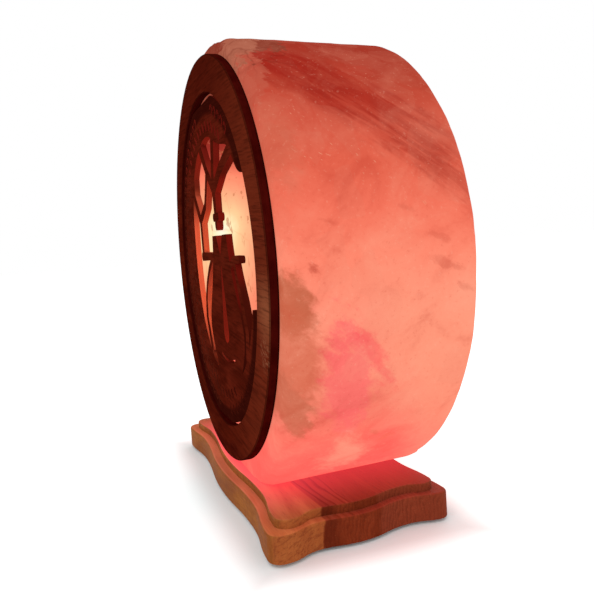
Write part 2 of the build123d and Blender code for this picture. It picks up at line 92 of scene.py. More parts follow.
@dataclass(frozen=True)
class Cloud:
    """A pattern of cloudy noise.

    Its clouds have a size, so many finer layers of a roughness, and a bend. The pattern is
    turned by degrees about each axis, and is so dense along each of its own axes.
    """

    size: float
    detail: float
    roughness: float
    bend: float = 0.0
    turn: Place = (0, 0, 0)
    density: Place = (1, 1, 1)


class NodeSheet:
    """A material's node tree, written with one short call per node."""

    def __init__(self, name: str) -> None:
        """Start a material with an output, a principled shader and its coordinates.

        Args:
            name: The material's name.
        """
        self.material = bpy.data.materials.new(name)
        self.material.use_nodes = True
        self.tree = self.material.node_tree
        self.tree.nodes.clear()
        self.output = self.add("ShaderNodeOutputMaterial")
        self.shader = self.add("ShaderNodeBsdfPrincipled")
        self.tree.links.new(self.shader.outputs["BSDF"], self.output.inputs["Surface"])
        coordinates = self.add("ShaderNodeTexCoord")
        self.place = coordinates.outputs["Object"]
        self.facing = coordinates.outputs["Normal"]

    def put(self, socket: Socket, value: Any) -> None:
        """Link a socket to another one, or set its value.

        Args:
            socket: The input to fill.
            value: Another node's output, or a plain value.
        """
        if isinstance(value, bpy.types.NodeSocket):
            self.tree.links.new(value, socket)
        else:
            socket.default_value = value

    def add(self, kind: str, inputs: dict[Any, Any] | None = None, **settings: Any) -> bpy.types.Node:
        """Add one node.

        Args:
            kind: The node's type name.
            inputs: Values or sockets for its inputs, by name or number.
            settings: The node's own options.

        Returns:
            The new node.
        """
        node = self.tree.nodes.new(kind)
        for key, value in settings.items():
            setattr(node, key, value)
        for key, value in (inputs or {}).items():
            self.put(node.inputs[key], value)
        return node

    def surface(self, **values: Any) -> None:
        """Set the shader's inputs, with underscores for the spaces in their names."""
        for key, value in values.items():
            self.put(self.shader.inputs[key.replace("_", " ")], value)

    def axes(self, vector: Socket) -> tuple[Socket, Socket, Socket]:
        """Split a vector into its three parts."""
        node = self.add("ShaderNodeSeparateXYZ", {0: vector})
        return node.outputs[0], node.outputs[1], node.outputs[2]

    def calc(self, operation: str, first: Any, second: Any = 0.0) -> Socket:
        """Do one sum with a math node's operation."""
        return self.add("ShaderNodeMath", {0: first, 1: second}, operation=operation).outputs[0]

    def plus(self, first: Any, second: Any) -> Socket:
        """Add two values."""
        return self.calc("ADD", first, second)

    def minus(self, first: Any, second: Any) -> Socket:
        """Take the second value from the first."""
        return self.calc("SUBTRACT", first, second)

    def times(self, first: Any, second: Any) -> Socket:
        """Multiply two values."""
        return self.calc("MULTIPLY", first, second)

    def absolute(self, value: Any) -> Socket:
        """Drop a value's sign."""
        return self.calc("ABSOLUTE", value)

    def distance(self, first: Socket, second: Socket) -> Socket:
        """The distance across two legs at a right angle."""
        return self.calc("SQRT", self.plus(self.times(first, first), self.times(second, second)))

    def sway(self, noise: Socket, reach: float) -> Socket:
        """Turn noise about a half into noise about zero, with a reach."""
        return self.times(self.minus(noise, 0.5), reach)

    def fade(self, value: Any, start: float, end: float, low: float = 0.0, high: float = 1.0) -> Socket:
        """Turn a value smoothly from low, at start, to high, at end.

        Args:
            value: The value to read.
            start: Where the result is low. It may lie past the end.
            end: Where the result is high.
            low: The result at the start.
            high: The result at the end.

        Returns:
            The result's socket.
        """
        node = self.add("ShaderNodeMapRange", {"Value": value, "From Min": start, "From Max": end,
                                               "To Min": low, "To Max": high},
                        interpolation_type="SMOOTHSTEP", clamp=True)
        return node.outputs["Result"]

    def fade_evenly(self, value: Any, start: float, end: float) -> Socket:
        """Turn a value evenly from 0, at start, to 1, at end.

        Args:
            value: The value to read.
            start: Where the result is 0.
            end: Where the result is 1.

        Returns:
            The result's socket.
        """
        node = self.add("ShaderNodeMapRange", {"Value": value, "From Min": start, "From Max": end},
                        clamp=True)
        return node.outputs["Result"]

    def moved(self, turn: Place, density: Place, vector: Socket | None = None) -> Socket:
        """Turn coordinates back, then scale them, to slant and stretch a pattern.

        Args:
            turn: The pattern's turn about each axis, in degrees.
            density: The pattern's density along each of its own axes.
            vector: The coordinates, or the object's own where none are given.

        Returns:
            The new coordinates' socket.
        """
        node = self.add("ShaderNodeMapping", {
            "Vector": self.place if vector is None else vector,
            "Rotation": [math.radians(angle) for angle in turn],
            "Scale": [1 / share for share in density]}, vector_type="TEXTURE")
        return node.outputs[0]

    def noise(self, cloud: Cloud) -> Socket:
        """Cloudy noise on the object's coordinates.

        Args:
            cloud: The noise's pattern.

        Returns:
            The noise, from 0 to 1 and mostly near a half.
        """
        straight = cloud.turn == (0, 0, 0) and cloud.density == (1, 1, 1)
        vector = self.place if straight else self.moved(cloud.turn, cloud.density)
        node = self.add("ShaderNodeTexNoise", {
            "Vector": vector, "Scale": 1 / cloud.size, "Detail": cloud.detail,
            "Roughness": cloud.roughness, "Distortion": cloud.bend})
        return node.outputs[0]

    def cells(self, vector: Socket, size: float, feature: str = "F1", result: str = "Distance") -> Socket:
        """Cells of about one size.

        Args:
            vector: The coordinates.
            size: The size of one cell, in the coordinates' unit.
            feature: The node's feature, such as F1 or DISTANCE_TO_EDGE.
            result: The node's output, Distance or Color.

        Returns:
            The output's socket.
        """
        node = self.add("ShaderNodeTexVoronoi", {"Vector": vector, "Scale": 1 / size}, feature=feature)
        return node.outputs[result]

    def warped(self, size: float, amount: float, vector: Socket | None = None) -> Socket:
        """Push coordinates about by noise.

        Args:
            size: The size of the noise's clouds.
            amount: The furthest push.
            vector: The coordinates, or the object's own where none are given.

        Returns:
            The new coordinates' socket.
        """
        vector = self.place if vector is None else vector
        noise = self.add("ShaderNodeTexNoise", {"Vector": vector, "Scale": 1 / size, "Detail": 2.0})
        centred = self.add("ShaderNodeVectorMath", {0: noise.outputs[1], 1: (0.5, 0.5, 0.5)},
                           operation="SUBTRACT")
        push = self.add("ShaderNodeVectorMath", {0: centred.outputs[0], 1: (2 * amount,) * 3},
                        operation="MULTIPLY")
        return self.add("ShaderNodeVectorMath", {0: vector, 1: push.outputs[0]},
                        operation="ADD").outputs[0]

    def ramp(self, value: Socket, stops: tuple[tuple[float, Colour], ...]) -> Socket:
        """Colours along a value from 0 to 1.

        Args:
            value: The value to read.
            stops: Places and their colours, in order.

        Returns:
            The colour's socket.
        """
        node = self.add("ShaderNodeValToRGB", {0: value})
        elements = node.color_ramp.elements
        while len(elements) < len(stops):
            elements.new(1.0)
        for element, (place, colour) in zip(elements, stops):
            element.position = place
            element.color = colour
        return node.outputs[0]

    def mix(self, share: Any, first: Any, second: Any) -> Socket:
        """Mix two colours by a share."""
        node = self.add("ShaderNodeMix", {0: share, 6: first, 7: second}, data_type="RGBA")
        return node.outputs[2]

    def lay(self, tone: Any, colour: Any, value: Any, start: float, end: float,
            strength: float = 1.0) -> Socket:
        """Lay a colour over a tone where a value passes from start to end.

        Args:
            tone: The colour so far.
            colour: The colour to lay over it.
            value: The value to read.
            start: Where nothing is laid yet.
            end: Where the colour is at its strength.
            strength: The colour's largest share.

        Returns:
            The new colour's socket.
        """
        return self.mix(self.fade(value, start, end, 0.0, strength), tone, colour)

    def dim(self, colour: Socket, share: float) -> Socket:
        """Scale a colour's light by a share."""
        node = self.add("ShaderNodeVectorMath", {0: colour, "Scale": share}, operation="SCALE")
        return node.outputs[0]

    def relief(self, height: Socket, depth: float, below: Socket | None = None) -> Socket:
        """A bumped normal.

        Args:
            height: The relief's height, from 0 to 1.
            depth: How deep the full range is, in metres.
            below: Another bumped normal that this one adds to.

        Returns:
            The normal's socket.
        """
        inputs = {"Height": height, "Distance": depth, "Strength": 1.0}
        if below is not None:
            inputs["Normal"] = below
        return self.add("ShaderNodeBump", inputs).outputs[0]


# ------------------------------------------------------------------ finishes


class Finish(Protocol):
    """Anything that writes a material."""

    def build(self) -> bpy.types.Material:
        """Write the material."""


# The turn, in degrees about X, by which the salt's layers fall towards the back.
LAYER_TURN = (-39, 0, 0)


class SaltTone:
    """Colours of the lit salt."""

    LEVELS = (
        (0.00, paint(228, 78, 70)), (0.12, paint(246, 108, 94)), (0.28, paint(252, 142, 116)),
        (0.40, paint(252, 144, 118)), (0.49, paint(250, 132, 106)), (0.58, paint(240, 114, 90)),
        (0.67, paint(224, 98, 75)), (0.75, paint(204, 84, 64)), (0.82, paint(182, 68, 50)),
        (0.90, paint(166, 56, 41)), (1.00, paint(150, 44, 31)))
    # Painted highlight: a brighter peach patch of the glow.
    PEACH_HIGHLIGHT = paint(253, 152, 122)
    BAND_FRONT = paint(156, 36, 26)
    BAND_BACK = paint(172, 50, 36)

    CLAY = paint(190, 92, 72)
    BROWN = paint(136, 60, 44)
    GREY = paint(172, 98, 76)
    OLIVE = paint(186, 94, 64)
    TAN = paint(206, 102, 74)
    SAND = paint(200, 104, 78)
    PALE_SAND = paint(200, 104, 80)
    UMBER = paint(184, 84, 66)
    ROSE = paint(250, 106, 104)
    APRICOT = paint(254, 160, 130)
    PINK = paint(248, 84, 88)
    RUST = paint(176, 52, 34)
    OCHRE = paint(206, 96, 70)

    MILK = paint(255, 170, 140)
    VEIN = paint(190, 58, 42)
    FACET = paint(214, 128, 104)
    DARK_GRIT = paint(190, 62, 46)
    PALE_GRIT = paint(255, 188, 160)
    SEAM = paint(104, 24, 16)
    SCRATCH = paint(246, 168, 134)

    HOLLOW = (
        (0.00, paint(255, 251, 228)), (0.12, paint(255, 240, 190)), (0.24, paint(252, 205, 152)),
        (0.36, paint(250, 184, 138)), (0.50, paint(248, 162, 124)), (0.64, paint(248, 136, 106)),
        (0.85, paint(244, 108, 88)), (1.00, paint(232, 94, 78)))
    # Painted shade on the cavity's upper walls.
    HOLLOW_TOP_SHADE = paint(128, 26, 20)
    HOLLOW_STREAK = paint(186, 104, 66)
    HOLLOW_CRACK = paint(240, 150, 110)
    THIN_BACK = paint(255, 172, 118)
    # A stronger red glow painted low on the drum, which lights the base's top.
    UNDERSIDE_GLOW = (1.9, 0.22, 0.20, 1.0)


@dataclass(frozen=True)
class Inclusion:
    """A ragged spot of another tone in the drum's wall.

    Its middle is turned so many degrees from the top towards the right, at a depth y. It
    reaches half_turn degrees up and down and half_depth to the front and back, and leans
    towards the back as it goes down.
    """

    turn: float
    depth: float
    half_turn: float
    half_depth: float
    lean: float
    colour: Colour
    strength: float
    raggedness: float = 0.5
    softness: float = 0.55


@dataclass(frozen=True)
class SaltFinish:
    """Rock salt lit from inside: layers, clouds and inclusions, and a bright cavity.

    A pair of lengths says where a fade starts and where it is full, and a warp's pair is
    the size of its clouds and the furthest push.
    """

    axis_height: float
    front: float
    cavity_radius: float
    bright_height: float

    own_light: float = 0.86
    returned_light: float = 0.20
    hollow_returned_light: float = 0.08

    clouds: Cloud = Cloud(60 * MM, 3, 0.55)
    cloud_reach: float = 20.0 * MM
    wisps: Cloud = Cloud(22 * MM, 6, 0.62, 0.7, LAYER_TURN, (0.45, 0.6, 2.6))
    wisp_reach: float = 18.0 * MM
    levels: Span = (17.0 * MM, 226.0 * MM)
    level_wander: float = 0.7

    # The painted peach highlight, low on the drum and towards the back.
    peach_rise: float = 2.2
    peach_wander: float = 1.6
    peach_from: float = -30.0 * MM
    peach_slope: Span = (132.0 * MM, 190.0 * MM)
    peach_height: Span = (128.0 * MM, 92.0 * MM)
    peach_strength: float = 0.75

    band_lower_slope: float = 0.74
    band_upper_slope: float = 0.70
    band_lower_edge: Span = (162.0 * MM, 178.0 * MM)
    band_upper_edge: Span = (201.0 * MM, 192.0 * MM)
    band_wander: float = 0.75
    band_fray: Cloud = Cloud(12 * MM, 6, 0.68, 0.4, LAYER_TURN, (0.6, 0.7, 1.5))
    band_fray_reach: float = 26.0 * MM
    band_streaks: Cloud = Cloud(14 * MM, 6, 0.66, 0.6, LAYER_TURN, (0.45, 0.5, 4.0))
    band_tones: Span = (-10.0 * MM, 30.0 * MM)
    band_weakening: Span = (30.0 * MM, 46.0 * MM)

    ragged_edge: Cloud = Cloud(9 * MM, 5, 0.65, turn=LAYER_TURN, density=(0.8, 0.8, 1.8))
    ragged_reach: float = 4.0
    milk: Cloud = Cloud(26 * MM, 6, 0.62, 0.5, (35, 0, 20), (1, 1, 1.6))
    milk_height: Span = (190.0 * MM, 110.0 * MM)
    face_size: float = 15.0 * MM
    face_warp: Span = (20.0 * MM, 4.0 * MM)
    grit: Cloud = Cloud(1.6 * MM, 3, 0.7)
    seam_size: float = 17.0 * MM
    seam_warp: Span = (12.0 * MM, 6.0 * MM)
    split_height: Span = (188.0 * MM, 204.0 * MM)
    split_depth: Span = (-8.0 * MM, -20.0 * MM)
    scratch_size: float = 2.2 * MM
    scratch_turn: Place = (-46, 0, 12)
    scratch_density: Place = (1.0, 0.08, 2.0)
    scratch_warp: Span = (16.0 * MM, 3.0 * MM)
    scratch_places: Cloud = Cloud(18 * MM, 3, 0.6)
    scratch_height: Span = (110.0 * MM, 165.0 * MM)

    bright_depth: float = 18.0 * MM
    bright_reach: float = 46.0 * MM
    bright_drift: Cloud = Cloud(24 * MM, 4, 0.6, 0.7, density=(1, 1, 0.6))
    bright_drift_reach: float = 14.0 * MM
    bright_middle: Span = (-6.0 * MM, 6.0 * MM)
    floor_share: float = 0.42
    hollow_streaks: Cloud = Cloud(2.6 * MM, 3, 0.6, 0.3, density=(1, 1, 0.10))
    crack_size: float = 18.0 * MM
    crack_turn: Place = (20, 0, 0)
    crack_density: Place = (1, 1, 0.4)
    crack_warp: Span = (12.0 * MM, 4.0 * MM)
    shade_height: Span = (167.0 * MM, 182.0 * MM)
    rim_outside: float = 9.0 * MM
    rim_inside: float = 4.0 * MM
    cavity_depth: Span = (64.0 * MM, 60.0 * MM)
    thin_radius: Span = (88.0 * MM, 30.0 * MM)
    thin_depth: Span = (60.0 * MM, 78.0 * MM)
    thin_clouds: Cloud = Cloud(30 * MM, 4, 0.6, 0.5)

    pits: Cloud = Cloud(3.2 * MM, 4, 0.6)
    pit_depth: float = 0.35 * MM
    dents: Cloud = Cloud(11 * MM, 3, 0.5)
    dent_depth: float = 1.1 * MM
    scratch_depth: float = 0.18 * MM
    # Where the drum's painted underside glow starts and is full.
    underside_glow_height: Span = (58.0 * MM, 20.0 * MM)
    underside_glow_strength: float = 0.30

    def inclusions(self) -> list[Inclusion]:
        """The spots that the wall shows: the upper front edge, the patches, then the streaks.

        Returns:
            The inclusions, in the order in which they are laid.
        """
        tone = SaltTone
        return [
            Inclusion(40, -37 * MM, 13, 9 * MM, 0.0, tone.CLAY, 0.7, 0.3, 0.15),
            Inclusion(8, -29 * MM, 29, 20 * MM, 0.0, tone.BROWN, 0.9, 0.3, 0.06),
            Inclusion(26, -31 * MM, 12, 8 * MM, -0.5, tone.GREY, 0.75, 0.5, 0.08),
            Inclusion(97, -36 * MM, 8, 11 * MM, 0.1, tone.OLIVE, 0.85, 0.30, 0.4),
            Inclusion(109, -36 * MM, 19, 17 * MM, 0.3, tone.TAN, 0.75, 0.35, 0.6),
            Inclusion(120, -34 * MM, 9, 10 * MM, 0.35, tone.SAND, 0.75, 0.35, 0.4),
            Inclusion(64, -33 * MM, 14, 10 * MM, 0.0, tone.PALE_SAND, 0.5, 0.4, 0.8),
            Inclusion(38, 16 * MM, 9, 14 * MM, 0.2, tone.UMBER, 0.5, 0.5, 0.6),
            Inclusion(114, -12 * MM, 17, 14 * MM, 0.25, tone.ROSE, 0.85, 0.40, 0.5),
            Inclusion(140, -4 * MM, 13, 14 * MM, 0.3, tone.APRICOT, 0.75, 0.4, 0.8),
            Inclusion(108, -2 * MM, 11, 5.5 * MM, 1.9, tone.PINK, 0.65, 0.6, 0.8),
            Inclusion(89.5, -27 * MM, 1.2, 2.4 * MM, 0.5, tone.RUST, 0.55, 1.0, 0.9),
            Inclusion(81, -19 * MM, 1.0, 3.0 * MM, 0.6, tone.RUST, 0.26, 1.0, 0.9),
            Inclusion(79, 13 * MM, 1.2, 3.5 * MM, 0.6, tone.RUST, 0.24, 1.0, 0.9),
            Inclusion(85, 25 * MM, 1.6, 5 * MM, 0.9, tone.RUST, 0.22, 1.0, 0.9),
            Inclusion(91, 29 * MM, 2.0, 5 * MM, 1.4, tone.RUST, 0.30, 1.0, 0.9),
            Inclusion(96, 37 * MM, 2.0, 4 * MM, 1.4, tone.RUST, 0.30, 1.0, 0.9),
            Inclusion(131, 6 * MM, 1.6, 3 * MM, 0.6, tone.OCHRE, 0.4, 1.0, 0.9),
            Inclusion(134, 12 * MM, 1.6, 3 * MM, -0.6, tone.OCHRE, 0.35, 1.0, 0.9),
        ]

    def radius(self, sheet: NodeSheet, x: Socket, z: Socket) -> Socket:
        """Distance from the drum's axis."""
        return sheet.distance(x, sheet.minus(z, self.axis_height))

    def wall(self, sheet: NodeSheet) -> Socket:
        """Colour of the outside of the salt.

        Args:
            sheet: The node tree to write in.

        Returns:
            The colour's socket.
        """
        x, y, z = sheet.axes(sheet.place)
        shift = sheet.plus(sheet.sway(sheet.noise(self.clouds), self.cloud_reach),
                           sheet.sway(sheet.noise(self.wisps), self.wisp_reach))
        height = sheet.plus(z, sheet.times(shift, self.level_wander))
        tone = sheet.ramp(sheet.fade_evenly(height, *self.levels), SaltTone.LEVELS)

        # Painted highlight: a brighter peach glow, low on the drum and towards the back.
        slope = sheet.plus(z, sheet.times(sheet.minus(y, self.peach_from), self.peach_rise))
        slope = sheet.plus(slope, sheet.times(shift, self.peach_wander))
        peach_highlight = sheet.times(sheet.fade(slope, *self.peach_slope), sheet.fade(z, *self.peach_height))
        tone = sheet.mix(sheet.times(peach_highlight, self.peach_strength), tone, SaltTone.PEACH_HIGHLIGHT)
        tone = self.banded(sheet, tone, y, z, shift)

        turn = sheet.calc("DEGREES", sheet.calc("ARCTAN2", x, sheet.minus(z, self.axis_height)))
        ragged = sheet.minus(sheet.noise(self.ragged_edge), 0.5)
        for spot in self.inclusions():
            tone = self.spotted(sheet, tone, spot, turn, y, ragged)
        return self.crystalline(sheet, tone, y, z)

    def banded(self, sheet: NodeSheet, tone: Socket, y: Socket, z: Socket, shift: Socket) -> Socket:
        """Lay the dark red layer over the colour, wider towards the back.

        Args:
            sheet: The node tree to write in.
            tone: The colour so far.
            y: The depth.
            z: The height.
            shift: How far the layers wander, in metres.

        Returns:
            The new colour's socket.
        """
        frayed = sheet.sway(sheet.noise(self.band_fray), self.band_fray_reach)
        wander = sheet.plus(sheet.times(shift, self.band_wander), frayed)
        lower = sheet.plus(sheet.plus(z, sheet.times(y, self.band_lower_slope)), wander)
        upper = sheet.plus(sheet.plus(z, sheet.times(y, self.band_upper_slope)), wander)
        band = sheet.times(sheet.fade(lower, *self.band_lower_edge),
                           sheet.fade(upper, *self.band_upper_edge))
        band = sheet.times(band, sheet.fade(sheet.noise(self.band_streaks), 0.32, 0.58, 0.35, 1.0))
        deep = sheet.lay(SaltTone.BAND_FRONT, SaltTone.BAND_BACK, y, *self.band_tones)
        strength = sheet.fade(y, *self.band_weakening, 0.9, 0.4)
        return sheet.mix(sheet.times(band, strength), tone, deep)

    def spotted(self, sheet: NodeSheet, tone: Socket, spot: Inclusion, turn: Socket, y: Socket,
                ragged: Socket) -> Socket:
        """Lay one inclusion over the colour.

        Args:
            sheet: The node tree to write in.
            tone: The colour so far.
            spot: The inclusion.
            turn: The turn from the top, in degrees.
            y: The depth.
            ragged: Noise about zero for the spot's edge.

        Returns:
            The new colour's socket.
        """
        up = sheet.calc("DIVIDE", sheet.minus(turn, spot.turn), spot.half_turn)
        along = sheet.calc("DIVIDE", sheet.minus(y, spot.depth), spot.half_depth)
        away = sheet.distance(up, sheet.minus(along, sheet.times(up, spot.lean)))
        away = sheet.plus(away, sheet.times(ragged, self.ragged_reach * spot.raggedness))
        return sheet.lay(tone, spot.colour, away, 1.0, 1.0 - spot.softness, spot.strength)

    def crystalline(self, sheet: NodeSheet, tone: Socket, y: Socket, z: Socket) -> Socket:
        """Add clouding, crystal faces, grit, seams and pale scratches.

        Args:
            sheet: The node tree to write in.
            tone: The colour so far.
            y: The depth.
            z: The height.

        Returns:
            The new colour's socket.
        """
        milk = sheet.noise(self.milk)
        milky = sheet.times(sheet.fade(milk, 0.42, 0.75), sheet.fade(z, *self.milk_height, 0.12, 0.30))
        tone = sheet.mix(milky, tone, SaltTone.MILK)
        tone = sheet.lay(tone, SaltTone.VEIN, milk, 0.48, 0.25, 0.34)
        faces = sheet.cells(sheet.warped(*self.face_warp), self.face_size, result="Color")
        facet = sheet.add("ShaderNodeSeparateColor", {0: faces}).outputs[0]
        tone = sheet.lay(tone, SaltTone.FACET, facet, 0.72, 0.80, 0.09)
        grit = sheet.noise(self.grit)
        tone = sheet.lay(tone, SaltTone.DARK_GRIT, grit, 0.56, 0.76, 0.22)
        tone = sheet.lay(tone, SaltTone.PALE_GRIT, grit, 0.42, 0.26, 0.16)
        seams = sheet.cells(sheet.warped(*self.seam_warp), self.seam_size, "DISTANCE_TO_EDGE")
        split = sheet.times(sheet.fade(z, *self.split_height), sheet.fade(y, *self.split_depth))
        tone = sheet.mix(sheet.times(split, sheet.fade(seams, 0.05, 0.0, 0.0, 0.28)), tone, SaltTone.SEAM)
        upper = sheet.fade(z, *self.scratch_height, 0.15, 0.85)
        return sheet.mix(sheet.times(self.scratches(sheet), upper), tone, SaltTone.SCRATCH)

    def scratches(self, sheet: NodeSheet) -> Socket:
        """Short thin marks that lean with the layers.

        Args:
            sheet: The node tree to write in.

        Returns:
            The socket of a share from 0 to 1.
        """
        longways = sheet.moved(self.scratch_turn, self.scratch_density, sheet.warped(*self.scratch_warp))
        near = sheet.cells(longways, self.scratch_size)
        few = sheet.fade(sheet.noise(self.scratch_places), 0.50, 0.64)
        return sheet.times(sheet.fade(near, 0.15, 0.05), few)

    def hollow(self, sheet: NodeSheet) -> Socket:
        """Colour of the walls of the cavity, brightest where the lamp's light falls on them.

        Args:
            sheet: The node tree to write in.

        Returns:
            The colour's socket.
        """
        x, y, z = sheet.axes(sheet.place)
        _, facing_y, _ = sheet.axes(sheet.facing)
        drift = sheet.sway(sheet.noise(self.bright_drift), self.bright_drift_reach)
        along = sheet.minus(y, self.front + self.bright_depth)
        above = sheet.minus(z, self.bright_height)
        above = sheet.times(above, sheet.fade(above, *self.bright_middle, 0.5, 0.95))
        on_wall = sheet.distance(along, above)
        on_floor = sheet.times(self.radius(sheet, x, z), self.floor_share)
        floor = sheet.fade(sheet.absolute(facing_y), 0.5, 0.9)
        reach = sheet.plus(sheet.times(on_floor, floor), sheet.times(on_wall, sheet.minus(1.0, floor)))
        reach = sheet.fade_evenly(sheet.plus(reach, drift), 0.0, self.bright_reach)
        tone = sheet.ramp(reach, SaltTone.HOLLOW)
        # Painted shade: the cavity's upper walls darker, where the lamp's light falls less.
        tone = sheet.lay(tone, SaltTone.HOLLOW_TOP_SHADE, z, *self.shade_height, 0.85)
        tone = sheet.lay(tone, SaltTone.HOLLOW_STREAK, sheet.noise(self.hollow_streaks), 0.60, 0.68, 0.6)
        upright = sheet.warped(*self.crack_warp, sheet.moved(self.crack_turn, self.crack_density))
        cracks = sheet.cells(upright, self.crack_size, "DISTANCE_TO_EDGE")
        return sheet.lay(tone, SaltTone.HOLLOW_CRACK, cracks, 0.03, 0.0, 0.2)

    def back_glow(self, sheet: NodeSheet, tone: Socket) -> Socket:
        """Lighten the back face where the salt behind the cavity is thin.

        Args:
            sheet: The node tree to write in.
            tone: The colour so far.

        Returns:
            The new colour's socket.
        """
        x, y, z = sheet.axes(sheet.place)
        start, end = self.thin_depth
        thin = sheet.times(sheet.fade(self.radius(sheet, x, z), *self.thin_radius),
                           sheet.fade(y, self.front + start, self.front + end))
        thin = sheet.times(thin, sheet.fade(sheet.noise(self.thin_clouds), 0.25, 0.7, 0.35, 0.9))
        return sheet.mix(thin, tone, SaltTone.THIN_BACK)

    def build(self) -> bpy.types.Material:
        """Write the material.

        Returns:
            The material.
        """
        sheet = NodeSheet("salt")
        x, y, z = sheet.axes(sheet.place)
        outside = self.back_glow(sheet, self.wall(sheet))
        inside = self.hollow(sheet)
        outer, inner = self.cavity_depth
        hollow = sheet.times(
            sheet.fade(self.radius(sheet, x, z), self.cavity_radius + self.rim_outside,
                       self.cavity_radius + self.rim_inside),
            sheet.fade(y, self.front + outer, self.front + inner))
        lit = sheet.mix(hollow, sheet.dim(outside, self.own_light), inside)
        matt = sheet.mix(hollow, sheet.dim(outside, self.returned_light),
                         sheet.dim(inside, self.hollow_returned_light))
        # Painted glow: stronger low on the drum's outside, to light the base's top.
        under = sheet.times(sheet.fade(z, *self.underside_glow_height), sheet.minus(1.0, hollow))
        lit = sheet.mix(sheet.times(under, self.underside_glow_strength), lit, SaltTone.UNDERSIDE_GLOW)
        pits = sheet.noise(self.pits)
        normal = sheet.relief(sheet.noise(self.dents), self.dent_depth)
        normal = sheet.relief(pits, self.pit_depth, normal)
        normal = sheet.relief(self.scratches(sheet), self.scratch_depth, normal)
        sheet.surface(Base_Color=matt, Emission_Color=lit, Emission_Strength=1.0, Normal=normal,
                      Roughness=sheet.fade(pits, 0.3, 0.7, 0.5, 0.68), Specular_IOR_Level=0.0)
        return sheet.material


class WoodPart(Enum):
    """The two dark, cut sheets at the front."""

    RING = "ring"
    PANEL = "panel"


class DarkTone:
    """Colours of the dark stained sheets."""

    GRAIN_DARK = paint(40, 8, 4)
    GRAIN_PALE = paint(112, 50, 30)

    RING = (paint(68, 15, 7), paint(90, 26, 12))
    # The ring face's painted sheen: lighter to the right, and a lighter patch low on the right.
    RING_RIGHT_SHEEN = paint(118, 46, 26)
    RING_TOP = paint(70, 17, 8)
    RING_SHEEN_PATCH = paint(142, 78, 50)
    RING_NICKED = paint(152, 98, 70)
    RING_EDGE = (paint(58, 6, 4), paint(74, 13, 8))
    RING_ARRIS = paint(34, 6, 4)

    PANEL = (paint(72, 18, 8), paint(94, 28, 15))
    # Painted shadow of the ring along the panel's rim.
    PANEL_RIM_SHADOW = paint(42, 8, 5)
    # Painted light on the walls of the openings, bright on the left and dim on the right; painted shade
    # near the rim.
    PANEL_CUTS_LIT = (
        (0.0, paint(200, 92, 66)), (0.30, paint(180, 80, 54)), (0.45, paint(146, 56, 38)),
        (0.64, paint(128, 40, 26)), (0.78, paint(112, 24, 16)), (1.0, paint(96, 20, 13)))
    PANEL_CUTS_SHADED = paint(62, 18, 10)
    PANEL_CUTS_RUDDY = paint(140, 34, 26)


